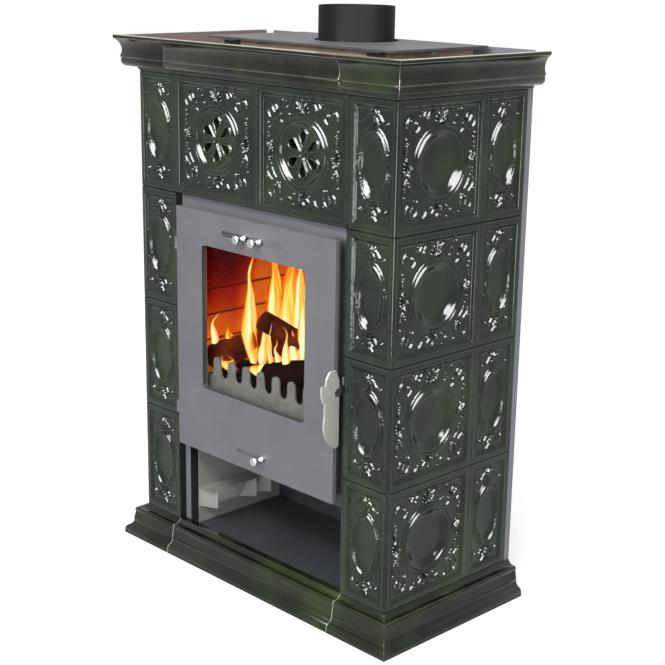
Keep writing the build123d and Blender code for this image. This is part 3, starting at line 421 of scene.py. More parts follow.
def second_finishes():
    """Bare clay inside the mouldings, a painted highlight on the cornice's rim, painted shutter plates, and black or
    dark paint as painted shade.
    """
    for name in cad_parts:
        if name.startswith(("cornice", "plinth")):
            side = 1 if name.endswith("right") else -1
            corner = not name.endswith("front")
            finish_faces(name, BISCUIT, lambda c, n: n.y > LEANING or (corner and n.x * side < -LEANING))
        if name.startswith("cornice"):
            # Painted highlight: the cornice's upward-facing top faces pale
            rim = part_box(name)[1].z / MM - MARGIN
            finish_faces(name, RIM_HIGHLIGHT, lambda c, n: n.z > SQUARE and c.z > rim)
    plate_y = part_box("door_panel")[0].y / MM + MARGIN
    # Painted shade: the left shutter plate is black, where its slot lies in shade; the others take the door's paint
    for name, paint in (
        ("upper_shutter_left", BLACK_AND_SHADE_PAINT), ("upper_shutter_right", DOOR_PAINT), ("lower_shutter", DOOR_PAINT)
    ):  # fmt: skip
        finish_faces(name, paint, lambda c, n: c.y > plate_y)
    # Painted shade: the front plate's cut edge that looks into the opening, black
    finish_faces("front_frame", BLACK_AND_SHADE_PAINT, lambda c, n: n.x > SQUARE and c.x < FRAME_CUT)
    # Painted shade: the handle's shank in the gap, black
    finish_faces("door_handle", BLACK_AND_SHADE_PAINT, lambda c, n: c.y > HANDLE_SHANK)
    # Painted shade deep in the store: its sheets at the rear and on the right, dark
    finish_faces("store_liner", DARK_PAINT_AND_STORE_SHADE, lambda c, n: c.x > STORE_SHADE_FROM[0] or c.y > STORE_SHADE_FROM[1])
    # Painted shade: the door's faces round the window that look across, black
    low, high = (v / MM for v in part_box("door_glass"))
    finish_faces(
        "door_panel", BLACK_AND_SHADE_PAINT,
        lambda c, n: low.x < c.x < high.x and low.z < c.z < high.z and abs(n.y) < ACROSS,
    )  # fmt: skip


def edges_thin_glazed_and_highlit():
    """The mouldings' sharp edges, a little rounded: there the glaze runs thin, and the paler colour there is partly a
    painted highlight.
    """
    for name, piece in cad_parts.items():
        if name.startswith(("cornice", "plinth")):
            piece.data.materials.append(EDGE_GLAZE_AND_HIGHLIGHT)
            merge = piece.modifiers.new("merge", "WELD")
            merge.merge_threshold = WELD * MM
            rounding = piece.modifiers.new("rounding", "BEVEL")
            rounding.width, rounding.segments = EDGE_ROUND * MM, 2
            rounding.limit_method, rounding.angle_limit = "ANGLE", math.radians(EDGE_CREASE)
            rounding.material = len(piece.data.materials) - 1


# ---- Pieces made here ----
def is_edge(part):
    """Whether a part of a bmesh is an edge."""
    return isinstance(part, bmesh.types.BMEdge)


def open_edges(shape):
    """The edges with a face on one side only."""
    return [e for e in shape.edges if e.is_boundary]


def wall_down(shape, z):
    """Walls from the open edges to a level below."""
    for v in bmesh.ops.extrude_edge_only(shape, edges=open_edges(shape))["geom"]:
        if isinstance(v, bmesh.types.BMVert):
            v.co.z = z


def mesh_from(shape, name, crease):
    """The mesh of a bmesh, smooth where its faces meet at less than an angle."""
    mesh = bpy.data.meshes.new(name)
    shape.to_mesh(mesh)
    shape.free()
    mesh.polygons.foreach_set("use_smooth", [True] * len(mesh.polygons))
    mesh.set_sharp_from_angle(angle=math.radians(crease))
    return mesh


def set_in(mesh, name, material):
    """Puts a mesh into the scene as a piece of the stove."""
    mesh.materials.append(material)
    made = bpy.data.objects.new(name, mesh)
    bpy.context.scene.collection.objects.link(made)
    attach(made, "stove")
    return made


# ---- Mortar ----
def joint(name, node, x, material):
    """A thin slice of a moulding's end, standing a little proud: the mortar between two lengths."""
    shape = bmesh.new()
    shape.from_mesh(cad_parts[node].data)
    bmesh.ops.remove_doubles(shape, verts=shape.verts, dist=WELD * MM)
    half = JOINT_WIDTH / 2 * MM
    for place, way in ((x - half, -1), (x + half, 1)):
        everything = [*shape.verts, *shape.edges, *shape.faces]
        cut = bmesh.ops.bisect_plane(
            shape, geom=everything, plane_co=(place, 0, 0), plane_no=(way, 0, 0), clear_outer=True
        )["geom_cut"]
        bmesh.ops.holes_fill(shape, edges=[e for e in cut if is_edge(e)], sides=0)
    bmesh.ops.recalc_face_normals(shape, faces=shape.faces)
    for v in shape.verts:
        v.co += Vector((0, v.normal.y, max(0, v.normal.z))) * JOINT_PROUD * MM
    set_in(mesh_from(shape, name, PIECE_CREASE), name, material)


def joints():
    """The four mortar joints beside the corner lengths of the plinth and the cornice."""
    for side, way in (("left", -1), ("right", 1)):
        for trim in ("plinth", "cornice"):
            node = f"{trim}_corner_{side}"
            low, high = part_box(node)
            inner = min(abs(low.x), abs(high.x)) + (JOINT_WIDTH / 2 + JOINT_INSET) * MM
            joint(f"mortar_{trim}_{side}", node, way * inner, MORTAR if trim == "plinth" else DARK_MORTAR)


# ---- Pressed tile faces ----
def spiral(cx, cy, r0, r1, a0, a1, w0, w1, steps=26):
    """A curl: points (x, y, half width) from radius r0 at angle a0 to r1 at a1, in degrees."""
    made = []
    for i in range(steps + 1):
        t = i / steps
        r, a, w = r0 + (r1 - r0) * t, math.radians(a0 + (a1 - a0) * t), w0 + (w1 - w0) * t
        made.append((cx + r * math.cos(a), cy + r * math.sin(a), w))
    return made


def curve(points, w0, w1, steps=6):
    """A smooth stroke through points, with the half width going from w0 to w1."""
    p = np.array([points[0], *points, points[-1]], float)
    made = []
    for i in range(1, len(p) - 2):
        for t in np.linspace(0, 1, steps, endpoint=False):
            a, b, c, d = p[i - 1], p[i], p[i + 1], p[i + 2]
            q = 0.5 * (2 * b + (c - a) * t + (2 * a - 5 * b + 4 * c - d) * t * t + (3 * b - a - 3 * c + d) * t**3)
            made.append(tuple(q))
    made.append(tuple(p[-2]))
    n = len(made) - 1
    return [(x, y, w0 + (w1 - w0) * i / n) for i, (x, y) in enumerate(made)]


def bead(x, y, r):
    """A round pearl, as a stroke of almost no length."""
    return [(x, y, r), (x + 0.01, y, r)]


def ray(x, y, angle, start, end, w0, w1):
    """A leaf or shell rib that leaves (x, y) at an angle."""
    a = math.radians(angle)
    return [
        (x + start * math.cos(a), y + start * math.sin(a), w0),
        (x + end * math.cos(a), y + end * math.sin(a), w1),
    ]


def both_sides(strokes):
    """The strokes and their mirror images."""
    return strokes + [[(-x, y, w) for x, y, w in s] for s in strokes]


def wide_ornament():
    """Rocaille round the dish: curls in the corners, shells at the middle of each side, a flower below."""
    right = [
        spiral(67, 66, 17, 8, -160, 190, 1.9, 1.3),
        bead(60, 67, 2.6),
        ray(67, 65, 60, -3, 7, 2.6, 1.2),
        ray(50, 50, 45, -4, 4, 2.2, 1.0),
        bead(80, 44, 2.2),
        bead(77, 37, 2.0),
        ray(79, 31, 95, -3, 3, 1.9, 1.6),
        ray(80, 23, 85, -3, 3, 1.9, 1.6),
        spiral(74, 11, 5.5, 3, -90, 170, 1.6, 1.2, 12),
        spiral(74, -11, 5.5, 3, 90, -170, 1.6, 1.2, 12),
        *[ray(68, 0, a, 4, 16, 2.3, 1.6) for a in (-44, -22, 0, 22, 44)],
        curve([(77, -18), (82, -30), (79, -42), (70, -50)], 1.3, 1.9),
        curve([(70, -30), (66, -38), (60, -45)], 1.9, 1.0),
        bead(73, -24, 1.9),
        bead(82, -46, 2.0),
        spiral(66, -67, 16, 9, 120, 470, 2.0, 1.3),
        ray(64, -66, 100, -7, 6, 3.0, 1.2),
        bead(52, -54, 2.2),
        curve([(50, -80), (42, -84), (34, -80), (30, -74)], 1.4, 2.0),
        *[ray(0, 63, a, 5, 22 - abs(a - 90) / 9, 2.1, 1.5) for a in (22, 45, 68)],
        curve([(7, 76), (16, 84), (28, 82), (33, 74)], 1.6, 1.2),
        bead(33, 73, 2.4),
        ray(34, 64, 30, -5, 6, 2.4, 0.9),
        bead(46, 84, 2.0),
        curve([(38, 83), (43, 77), (50, 78)], 1.2, 1.7),
        *[ray(0, -76, a, 4, 9.5, 2.6, 2.2) for a in (18, 90, -54)],
        curve([(12, -72), (20, -78), (28, -74)], 1.7, 1.1),
        bead(18, -68, 2.2),
        ray(24, -84, 20, -5, 5, 2.0, 0.9),
    ]
    return both_sides(right) + [ray(0, 63, 90, 5, 24, 2.3, 1.6), bead(0, -76, 3.0), bead(0, 68, 2.0)]


def narrow_ornament():
    """A bow with garland ends over the oval, and a leaf scroll with its bud below."""
    right = [
        spiral(6, 83, 4.5, 2.5, 200, 440, 1.5, 1.2, 12),
        curve([(4, 79), (12, 78), (19, 70), (29, 67)], 1.9, 1.3),
        bead(29, 67, 2.2),
        curve([(3, 76), (7, 70), (10, 63)], 1.4, 1.0),
        curve([(2, -66), (11, -65), (18, -72), (28, -70)], 2.4, 1.5),
        bead(28, -69, 2.5),
        curve([(2, -72), (9, -78), (17, -76)], 2.2, 1.2),
        ray(3, -81, -38, 0, 9, 2.4, 1.0),
        curve([(31, 20), (33, 8), (32, -6)], 0.8, 0.8),
    ]
    return both_sides(right) + [
        ray(0, 80, -90, 0, 16, 4.2, 1.0),
        bead(0, 84, 2.6),
        ray(0, -72, -90, 0, 14, 4.6, 1.2),
        bead(0, -65, 2.8),
    ]


def petal_outlines(inset):
    """Closed outlines of the six openings, as point arrays."""
    angle = math.radians(PETAL_ANGLE)
    r = PETAL_RADIUS - inset
    turns = np.linspace(-math.pi / 2 + angle, 1.5 * math.pi - angle, ARC_POINTS)
    outline = np.array([(r * math.cos(a), r * math.sin(a)) for a in turns] + [(0, -PETAL_POINT + 2 * inset)])
    outline[:, 1] += PETAL_CENTRE
    made = []
    for i in range(PETALS):
        turn = 2 * math.pi / PETALS * i
        c, s = math.cos(turn), math.sin(turn)
        made.append(outline @ np.array([[c, s], [-s, c]]))
    return made


def stroke_height(x, y, stroke, height):
    """Height of one round-topped stroke over the points."""
    best = np.full(x.shape, np.inf)
    for (x0, y0, w0), (x1, y1, w1) in zip(stroke, stroke[1:]):
        dx, dy = x1 - x0, y1 - y0
        t = np.clip(((x - x0) * dx + (y - y0) * dy) / (dx * dx + dy * dy + 1e-9), 0, 1)
        away = np.hypot(x - x0 - t * dx, y - y0 - t * dy)
        best = np.minimum(best, away / (w0 + (w1 - w0) * t))
    return height * np.sqrt(np.clip(1 - best**2, 0, 1))


def add_strokes(x, y, z, strokes, height):
    """Raises the points under the strokes; thin strokes rise less."""
    for stroke in strokes:
        s = np.array(stroke)
        reach = s[:, 2].max() + 1
        near = (x > s[:, 0].min() - reach) & (x < s[:, 0].max() + reach)
        near &= (y > s[:, 1].min() - reach) & (y < s[:, 1].max() + reach)
        rise = stroke_height(x[near], y[near], stroke, height * min(1.0, s[:, 2].mean() / STROKE_FULL))
        z[near] += rise


def panel_height(x, y, half_width):
    """Flat border, a bead and a slope down to the sunk panel."""
    edge = np.minimum(half_width - np.abs(x), TILE_HALF - np.abs(y))
    return np.interp(
        edge,
        [0, 9.8, 10.8, 11.6, 12.6, 13.6, 14.8, 15.8, 16.8, 17.8, 18.8, 19.8],
        [SKIN_LIFT, SKIN_LIFT, 0.7, 0.5, -1.2, -2.7, -2.9, -1.9, -1.7, -3.2, -PANEL_DEPTH, -PANEL_DEPTH],
    )


def wide_height(x, y):
    """A round dish with a double ring, the panel round it and the wide ornament."""
    r = np.hypot(x, y)
    bowl = ([0, 30, 37, 40, 43, 46, 48.5], [-9.35, -9.3, -9.1, -8.6, -6.9, -4.9, -3.4])
    ring = (
        [50.6, 51.6, 52.6, 53.6, 54.6, 56.0, 57.4, 58.4, 59.2, 60.2, 61.2, 62.2, 63.4, WIDE_RING],
        [-2.2, -0.9, -0.1, 0.1, -0.3, -1.6, -3.0, -3.3, -2.9, -1.7, -1.2, -1.7, -3.1, -PANEL_DEPTH],
    )
    dish = np.interp(r, bowl[0] + ring[0], bowl[1] + ring[1])
    z = np.where(r < WIDE_RING, dish, panel_height(x, y, WIDE_HALF))
    add_strokes(x, y, z, wide_ornament(), WIDE_STROKE)
    return z


def narrow_height(x, y):
    """An oval dish with a double ring, the panel round it and the narrow ornament."""
    a, b = OVAL
    start, end = OVAL_RING
    rho = np.sqrt((x / a) ** 2 + (y / b) ** 2) + 1e-6  # 1 on the oval
    away = (rho - 1) * np.hypot(x, y) / rho  # millimetres outwards from it
    bowl = np.interp(rho, [0, 0.55, 0.7, 0.78, 0.86, 0.93, 1], [-8.3, -8.2, -7.9, -7.0, -5.2, -3.6, -1.9])
    ring = np.interp(
        away,
        [start, -0.6, 0.2, 1.0, 1.9, 3.1, 4.2, 5.0, 5.7, 6.5, 7.3, 8.2, end],
        [-1.9, -0.7, 0.0, 0.1, -0.3, -1.7, -3.0, -3.1, -2.5, -1.6, -1.4, -2.2, -PANEL_DEPTH],
    )
    z = np.where(away < start, bowl, np.where(away < end, ring, panel_height(x, y, NARROW_HALF)))
    add_strokes(x, y, z, narrow_ornament(), NARROW_STROKE)
    return z


def vent_height(x, y):
    """The sunk rosette with its ring and the petals' rims, the panel round it and the wide ornament."""
    r = np.hypot(x, y)
    rosette = np.interp(
        r,
        [0, 38, 43, 47, 50, 51.6, 52.6, 53.6, 54.6, 56.0, 57.4, 58.4, 59.2, 60.2, 61.2, 62.2, VENT_RING],
        [-6.6, -7.2, -7.0, -5.6, -3.2, -1.3, -0.2, 0.1, -0.3, -1.6, -3.0, -3.3, -2.9, -1.7, -1.2, -1.9, -PANEL_DEPTH],
    )
    z = np.where(r < VENT_RING, rosette, panel_height(x, y, VENT_HALF))
    rims = [[(px, py, RIM_HALF) for px, py in np.vstack([o, o[:1]])] for o in petal_outlines(-RIM_OUT)]
    add_strokes(x, y, z, rims, PETAL_STROKE)
    wider = [[(px * VENT_SPREAD, py, w) for px, py, w in s] for s in wide_ornament()]
    add_strokes(x, y, z, wider, WIDE_STROKE)
    return z


def nearest_on(outline, point):
    """The nearest point of a closed outline."""
    a, b = outline, np.roll(outline, -1, axis=0)
    d = b - a
    t = np.clip(((point - a) * d).sum(1) / (d * d).sum(1), 0, 1)
    q = a + d * t[:, None]
    return q[np.hypot(*(q - point).T).argmin()]


def inside(outline, x, y):
    """Which points lie inside a closed outline."""
    a, b = outline, np.roll(outline, -1, axis=0)
    crossings = np.zeros(x.shape, int)
    for (x0, y0), (x1, y1) in zip(a, b):
        spans = (y0 > y) != (y1 > y)
        crossings += spans & (x < (x1 - x0) * (y - y0) / (y1 - y0 + 1e-12) + x0)
    return crossings % 2 == 1


def pressed_face(name, half_x, half_y, height_of, holes=()):
    """A closed, finely pressed tile face: a grid raised by its relief, with walls and a flat back."""
    shape = bmesh.new()
    nx, ny = round(2 * half_x / GRID), round(2 * half_y / GRID)
    bmesh.ops.create_grid(shape, x_segments=nx, y_segments=ny, size=1.0)
    bmesh.ops.scale(shape, vec=(half_x, half_y, 1.0), verts=shape.verts)
    for hole in holes:
        faces = list(shape.faces)
        centres = np.array([f.calc_center_median()[:2] for f in faces])
        gone = inside(hole, centres[:, 0], centres[:, 1])
        bmesh.ops.delete(shape, geom=[f for f, g in zip(faces, gone) if g], context="FACES")
        for v in shape.verts:
            if v.is_boundary and max(abs(v.co.x) - half_x, abs(v.co.y) - half_y) < -GRID:
                q = nearest_on(hole, np.array(v.co[:2]))
                if math.hypot(q[0] - v.co.x, q[1] - v.co.y) < HOLE_SNAP:
                    v.co.x, v.co.y = q
    co = np.array([v.co for v in shape.verts])
    for v, rise in zip(shape.verts, height_of(co[:, 0], co[:, 1])):
        v.co.z = rise
    wall_down(shape, -SKIN_BACK)
    if holes:
        bmesh.ops.triangle_fill(shape, edges=open_edges(shape), use_beauty=False)
    else:
        bmesh.ops.holes_fill(shape, edges=open_edges(shape), sides=0)
    bmesh.ops.recalc_face_normals(shape, faces=shape.faces)
    bmesh.ops.scale(shape, vec=(MM, MM, MM), verts=shape.verts)
    mesh = mesh_from(shape, name, FACE_CREASE)
    mesh.attributes.new("crest", "FLOAT", "POINT").data.foreach_set("value", crest_of(mesh))
    return mesh


def crest_of(mesh):
    """How far each point stands above the mean of its neighbours, from 0 to 1, for the thin glaze on crests."""
    n = len(mesh.vertices)
    co = np.zeros(n * 3, np.float32)
    mesh.vertices.foreach_get("co", co)
    z = co.reshape(-1, 3)[:, 2] / MM
    ends = np.zeros(len(mesh.edges) * 2, np.int32)
    mesh.edges.foreach_get("vertices", ends)
    a, b = ends.reshape(-1, 2).T
    smooth = z.copy()
    count = np.bincount(a, minlength=n) + np.bincount(b, minlength=n)
    for _ in range(CREST_ROUNDS):
        total = np.bincount(a, smooth[b], n) + np.bincount(b, smooth[a], n)
        smooth = total / np.maximum(count, 1)
    return np.clip((z - smooth) * CREST_GAIN, 0, 1).astype(np.float32)


def set_face(mesh, name, axes, origin_mm):
    """A copy of a face's mesh with its place worked into its points."""
    made = mesh.copy()
    made.transform(Matrix.Translation(Vector(origin_mm) * MM) @ Matrix(axes).transposed().to_4x4())
    set_in(made, name, GLAZE)


# Right, up and out of a face that looks each way
FRONT = ((1, 0, 0), (0, 0, 1), (0, -1, 0))
RIGHT = ((0, 1, 0), (0, 0, 1), (1, 0, 0))
LEFT = ((0, -1, 0), (0, 0, 1), (-1, 0, 0))


def tile_faces():
    """The pressed faces of the tiles, set on their bodies."""
    reach = TILE_HALF - ROW_EDGE
    wide = pressed_face("wide_face", WIDE_HALF - ROUND_EDGE, reach, wide_height)
    narrow = pressed_face("narrow_face", NARROW_HALF - ROUND_EDGE, reach, narrow_height)
    half = pressed_face("half_face", NARROW_HALF - FACE_EDGE, reach, narrow_height)
    vent = pressed_face("vent_face", VENT_HALF - FACE_EDGE, reach, vent_height, petal_outlines(PETAL_INSET))
    for side, sign, axes in (("right", 1, RIGHT), ("left", -1, LEFT)):
        for row in range(1, ROWS + 1):
            low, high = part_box(f"corner_tile_{side}_row{row}")
            z = (low.z + high.z) / 2 / MM
            front, outer = low.y / MM, sign * max(abs(low.x), abs(high.x)) / MM
            set_face(narrow, f"pressed_front_face_{side}_row{row}", FRONT, (outer - sign * NARROW_HALF, front, z))
            set_face(wide, f"pressed_side_face_{side}_row{row}", axes, (outer, front + WIDE_HALF, z))
            low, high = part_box(f"half_tile_{side}_row{row}")
            set_face(half, f"pressed_half_face_{side}_row{row}", axes, (outer, (low.y + high.y) / 2 / MM, z))
        low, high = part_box(f"vent_tile_{side}")
        middle = (sign * VENT_HALF, low.y / MM, (low.z + high.z) / 2 / MM)
        set_face(vent, f"pressed_vent_face_{side}", FRONT, middle)
    for mesh in (wide, narrow, half, vent):
        bpy.data.meshes.remove(mesh)


# ---- The fire ----
def log(name, start, end, radius, seed, material):
    """A round billet between two points, with a rough bark and a burnt, uneven girth."""
    sides, cuts, taper, uneven, bark, dish = 20, 14, 0.93, 0.16, 0.16, 0.05  # the last four as shares of the radius
    shape = bmesh.new()
    a, b = Vector(start), Vector(end)
    bmesh.ops.create_cone(
        shape, cap_ends=True, segments=sides, radius1=radius, radius2=radius * taper, depth=(b - a).length
    )
    long_edges = [e for e in shape.edges if abs(e.verts[0].co.z - e.verts[1].co.z) > 1e-4]
    bmesh.ops.subdivide_edges(shape, edges=long_edges, cuts=cuts, use_grid_fill=True)
    for v in shape.verts:
        # Bumps of the bark, longer along the billet than round it
        rough = noise.noise(Vector((v.co.x * 60, v.co.y * 60, v.co.z * 14)) + Vector((seed, 0, 0)))
        v.co.x *= 1 + uneven * rough
        v.co.y *= 1 + uneven * rough
    caps = [f for f in shape.faces if len(f.verts) > 4]
    bmesh.ops.inset_region(shape, faces=caps, thickness=radius * bark, depth=radius * dish)
    turn = (b - a).to_track_quat("Z", "X").to_matrix().to_4x4()
    bmesh.ops.transform(shape, matrix=Matrix.Translation((a + b) / 2) @ turn, verts=shape.verts)
    bmesh.ops.recalc_face_normals(shape, faces=shape.faces)
    set_in(mesh_from(shape, name, PIECE_CREASE), name, material)


def ember_bed():
    """Glowing embers and ash heaped on the grate."""
    low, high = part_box("hearth_floor")
    x = abs(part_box("firebrick_side_right")[0].x) - BED_SIDE
    y0, y1 = low.y + BED_FRONT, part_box("firebrick_rear")[0].y - BED_SIDE
    shape = bmesh.new()
    bmesh.ops.create_grid(shape, x_segments=72, y_segments=56, size=1.0)
    for v in shape.verts:
        # A heap that is highest in the middle and a little in front, with lumps of charcoal
        rise = 0.5 + 0.5 * math.cos(math.pi * min(1.0, abs(v.co.x)))
        lump = noise.turbulence(Vector((v.co.x * 4.2, v.co.y * 3.4, 3.0)), 3, False)
        front = 0.5 + 0.5 * math.cos(math.pi * min(1.0, abs(v.co.y + 0.45) * 0.75))
        v.co.z = 0.012 + (0.028 + 0.030 * rise) * front + 0.016 * lump
        v.co.x *= x
        v.co.y = (y0 + y1) / 2 + v.co.y * (y1 - y0) / 2
        v.co.z += high.z
    wall_down(shape, high.z + BED_LIFT)
    bmesh.ops.holes_fill(shape, edges=open_edges(shape), sides=0)
    bmesh.ops.recalc_face_normals(shape, faces=shape.faces)
    set_in(mesh_from(shape, "ember_bed", EMBER_CREASE), "ember_bed", EMBER)


def flame(name, foot, height, width, lean, seed, power, depth):
    """A closed tongue of flame: a flat oval drawn upwards, swelling and then tapering to its tip."""
    shape = bmesh.new()
    rings, sides = 30, 20
    ring = bmesh.ops.create_circle(shape, segments=sides, radius=1.0)["verts"]
    bmesh.ops.contextual_create(shape, geom=ring)
    loop = list(shape.edges)
    for i in range(1, rings + 1):
        geom = bmesh.ops.extrude_edge_only(shape, edges=loop)["geom"]
        for v in geom:
            if isinstance(v, bmesh.types.BMVert):
                v.co.z = i / rings
        level = (i - 0.5) / rings
        loop = [e for e in geom if is_edge(e) and min(v.co.z for v in e.verts) > level]
    bmesh.ops.contextual_create(shape, geom=loop)
    fierce = shape.verts.layers.float.new("fierceness")
    for v in shape.verts:
        across, away, t = v.co
        # Swell and taper, slow sway, quick flutter and an uneven girth, the middle two stronger towards the tip
        swell = (0.4 + 0.8 * math.sin(math.pi * min(1.0, t * 1.4)) ** 0.9) * max(0.02, 1 - t) ** 0.55
        sway = noise.noise(Vector((seed, t * 2.2, 0.3))) * t
        flutter = noise.noise(Vector((seed + 7, t * 5.0, 0.0))) * t * 0.35
        around = 1 + 0.18 * noise.noise(Vector((across * 1.4, away * 1.4, t * 6 + seed)))
        reach = swell * width / 2 * around
        v.co.x = foot[0] + across * reach + (sway + flutter) * width * 0.5 + lean * (t * t - 0.9 * t)
        v.co.y = foot[1] + away * swell * depth / 2 + sway * 0.01
        v.co.z = foot[2] + t * height
        v[fierce] = power * (1.1 - 0.5 * t**1.5) - across**2
    bmesh.ops.recalc_face_normals(shape, faces=shape.faces)
    set_in(mesh_from(shape, name, FLAME_CREASE), name, FLAME)


def fire():
    """Billets on the ember bed, and the flames among them."""
    ember_bed()
    # name, ends, radius, seed, finish
    log("log_upper", (-0.048, -0.088, 0.482), (0.080, -0.068, 0.447), 0.018, 1.0, CHAR)
    log("log_left", (-0.168, -0.106, 0.392), (-0.070, -0.074, 0.440), 0.0235, 5.0, CHAR)
    log("log_middle", (-0.046, -0.070, 0.430), (0.050, 0.040, 0.436), 0.020, 9.0, CHAR)
    log("log_front", (-0.004, -0.112, 0.392), (0.150, -0.098, 0.436), 0.024, 13.0, DARK_CHAR)
    # foot, height, width, lean, seed, power, depth: the white-hot tongues in front, then the broad sheets behind
    flames = (
        ((-0.066, -0.096, 0.400), 0.212, 0.044, 0.052, 1.0, 1.05, 0.016),
        ((-0.050, -0.090, 0.400), 0.100, 0.034, -0.020, 2.0, 1.0, 0.014),
        ((-0.158, -0.110, 0.408), 0.072, 0.020, 0.010, 11.0, 1.15, 0.008),
        ((-0.128, -0.098, 0.420), 0.044, 0.034, -0.010, 12.0, 0.85, 0.010),
        ((0.000, -0.114, 0.396), 0.094, 0.013, 0.002, 13.0, 1.1, 0.007),
        ((0.020, -0.112, 0.398), 0.066, 0.024, -0.004, 14.0, 1.0, 0.010),
        ((0.042, -0.116, 0.408), 0.086, 0.022, -0.012, 15.0, 1.1, 0.010),
        ((0.054, -0.086, 0.430), 0.195, 0.032, 0.002, 6.0, 1.0, 0.012),
        ((0.036, -0.088, 0.420), 0.060, 0.034, 0.000, 19.0, 0.95, 0.012),
        ((-0.034, -0.112, 0.386), 0.036, 0.056, 0.000, 16.0, 1.0, 0.012),
        ((0.010, -0.116, 0.390), 0.036, 0.050, 0.000, 20.0, 1.0, 0.010),
        ((-0.110, -0.114, 0.378), 0.030, 0.056, 0.000, 17.0, 0.85, 0.010),
        ((-0.120, -0.128, 0.350), 0.060, 0.011, -0.004, 18.0, 1.2, 0.006),
        ((-0.062, -0.044, 0.400), 0.235, 0.052, 0.000, 3.0, 0.90, 0.018),
        ((-0.032, -0.036, 0.400), 0.245, 0.056, 0.004, 4.3, 0.95, 0.018),
        ((0.000, -0.040, 0.400), 0.245, 0.054, 0.000, 5.0, 0.9, 0.018),
        ((0.034, -0.040, 0.400), 0.245, 0.054, 0.000, 7.0, 0.95, 0.018),
        ((-0.050, -0.010, 0.390), 0.245, 0.100, 0.000, 21.0, 0.70, 0.016),
        ((0.000, -0.006, 0.390), 0.248, 0.110, 0.000, 22.0, 0.74, 0.016),
        ((-0.118, 0.000, 0.380), 0.245, 0.080, 0.000, 9.0, 0.60, 0.020),
        ((-0.086, 0.024, 0.380), 0.255, 0.110, 0.000, 10.0, 0.70, 0.020),
        ((-0.046, 0.044, 0.380), 0.255, 0.110, 0.000, 8.0, 0.70, 0.020),
    )
    for i, parts in enumerate(flames, 1):
        flame(f"flame_{i:02d}", *parts)


# ---- Stage ----
def outwards(azimuth, elevation):
    """The way from the stove to a place round it: azimuth 0 in front, 90 on the right."""
    az, el = math.radians(azimuth), math.radians(elevation)
    return Vector((math.sin(az) * math.cos(el), -math.cos(az) * math.cos(el), math.sin(el)))


def camera():
    """The camera of the photograph, as the fit to the tile joints gave it."""
    made = bpy.data.objects.new("camera", bpy.data.cameras.new("camera"))
    made.data.lens = CAMERA_LENS
    made.data.sensor_width = CAMERA_SENSOR
    made.data.clip_end = CAMERA_REACH
    az, roll = math.radians(CAMERA_AZIMUTH), math.radians(CAMERA_ROLL)
    back = outwards(CAMERA_AZIMUTH, CAMERA_ELEVATION)
    right = Vector((math.cos(az), math.sin(az), 0))
    up = back.cross(right)
    across = right * math.cos(roll) + up * math.sin(roll)
    upward = up * math.cos(roll) - right * math.sin(roll)
    made.matrix_world = Matrix.Translation(CAMERA_PLACE) @ Matrix((across, upward, back)).transposed().to_4x4()
    bpy.context.scene.collection.objects.link(made)
    bpy.context.scene.camera = made


def new_light(name, kind, power):
    """A light that is not yet in its place."""
    made = bpy.data.objects.new(name, bpy.data.lights.new(name, kind))
    made.data.energy = power
    bpy.context.scene.collection.objects.link(made)
    return made


def lamp(name, azimuth, elevation, distance, size, power):
    """A soft square lamp that looks at the stove."""
    made = new_light(name, "AREA", power)
    made.data.size = size
    back = outwards(azimuth, elevation)
    made.location = Vector(LAMP_AIM) + back * distance
    made.rotation_mode = "QUATERNION"
    made.rotation_quaternion = back.to_track_quat("Z", "Y")
    return made


def gleam(*settings):
    """A softbox that only gloss shows."""
    lamp(*settings).visible_diffuse = False


def glow(name, place, power, colour, radius):
    """The light that the flames throw on the firebox walls."""
    made = new_light(name, "POINT", power)
    made.data.color = linear(colour)[:3]
    made.data.shadow_soft_size = radius
    made.location = place
    made.visible_camera = made.visible_glossy = made.visible_transmission = False


def who_looks(tree):
    """Whether the camera looks, and whether gloss or glass does."""
    kinds = ("Camera", "Glossy", "Transmission")
    camera_looks, gloss, glass = (add(tree, "LightPath", output=f"Is {kind} Ray") for kind in kinds)
    return camera_looks, add(tree, "Math", {0: gloss, 1: glass}, operation="MAXIMUM")


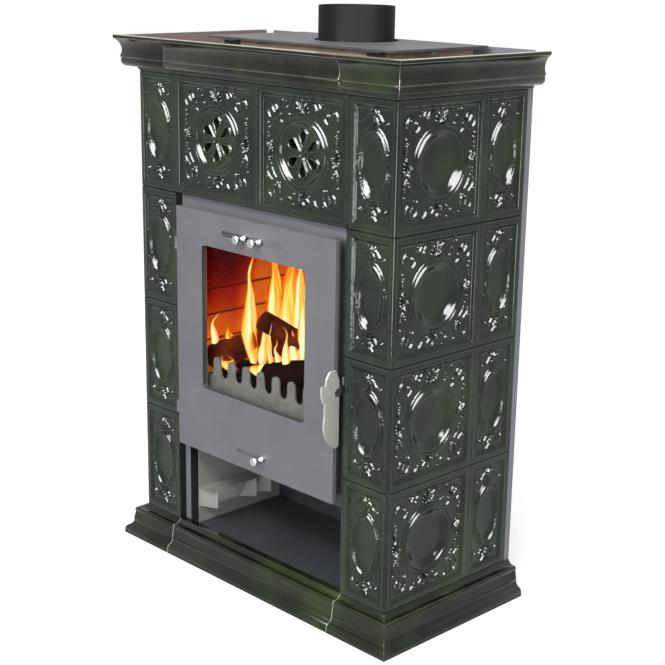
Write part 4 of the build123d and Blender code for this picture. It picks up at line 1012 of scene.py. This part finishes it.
def matt_white(tree):
    """Matt white studio floor, hardly uneven, that the camera, gloss and glass see brighter than it is lit."""
    place = add(tree, "TexCoord", output="Object")
    clouds = add(tree, "TexNoise", {"Vector": place, "Scale": 1000 / 400})
    camera_looks, mirrored = who_looks(tree)
    lifts = {
        0: add(tree, "Math", {0: camera_looks, 1: FLOOR_SEEN}, operation="MULTIPLY"),
        1: add(tree, "Math", {0: mirrored, 1: FLOOR_LIFT}, operation="MULTIPLY"),
    }
    return {
        "Base Color": add(tree, "ValToRGB", {"Fac": clouds}, stops=((0.3, "#f4f4f4"), (0.7, "#f8f8f8"))),
        "Emission Strength": add(tree, "Math", lifts, operation="MAXIMUM"),
    }


def floor():
    """The studio floor, just under the stove's foot."""
    shape = bmesh.new()
    bmesh.ops.create_grid(shape, x_segments=8, y_segments=8, size=FLOOR_HALF)
    bmesh.ops.translate(shape, vec=(0, 0, -FLOOR_DROP), verts=shape.verts)
    mesh = bpy.data.meshes.new("floor")
    shape.to_mesh(mesh)
    shape.free()
    mesh.materials.append(
        finish("matt_white_floor", matt_white, Roughness=0.9, Specular_IOR_Level=0.1, Emission_Color=WHITE)
    )
    made = bpy.data.objects.new("floor", mesh)
    bpy.context.scene.collection.objects.link(made)


def studio():
    """Even pale light all round, which the camera, metal and glass see as white."""
    made = bpy.data.worlds.new("studio")
    bpy.context.scene.world = made
    made.use_nodes = True
    tree = made.node_tree
    tree.nodes.clear()
    camera_looks, mirrored = who_looks(tree)
    seen = add(tree, "Math", {0: camera_looks, 1: mirrored}, operation="MAXIMUM")
    thrown = add(tree, "Background", {"Color": WHITE, "Strength": ROOM_LIGHT})
    shown = add(tree, "Background", {"Color": WHITE, "Strength": 1.0})
    add(tree, "OutputWorld", {"Surface": add(tree, "MixShader", {0: seen, 1: thrown, 2: shown})})


# ---- The stove, finished and lit ----
finish_nodes()
second_finishes()
edges_thin_glazed_and_highlit()
tile_faces()
joints()
fire()
camera()
studio()
floor()
# name, azimuth, elevation, distance, size, power
lamp("camera_lamp", 38, 34, 3.2, 0.5, 22)
lamp("front_lamp", 8, 40, 3.2, 0.6, 22)
lamp("top_lamp", 20, 78, 3.4, 1.0, 12)
gleam("front_softbox", 12, 36, 3.2, 2.4, 700)
gleam("side_softbox", 78, 36, 3.2, 2.4, 600)
gleam("low_softbox", 45, -7, 2.2, 0.8, 28)
# name, place, power, colour, radius
glow("fire_glow", (-0.02, -0.05, 0.43), 0.55, "#ffa860", 0.03)
bpy.context.scene.view_settings.view_transform = "Standard"
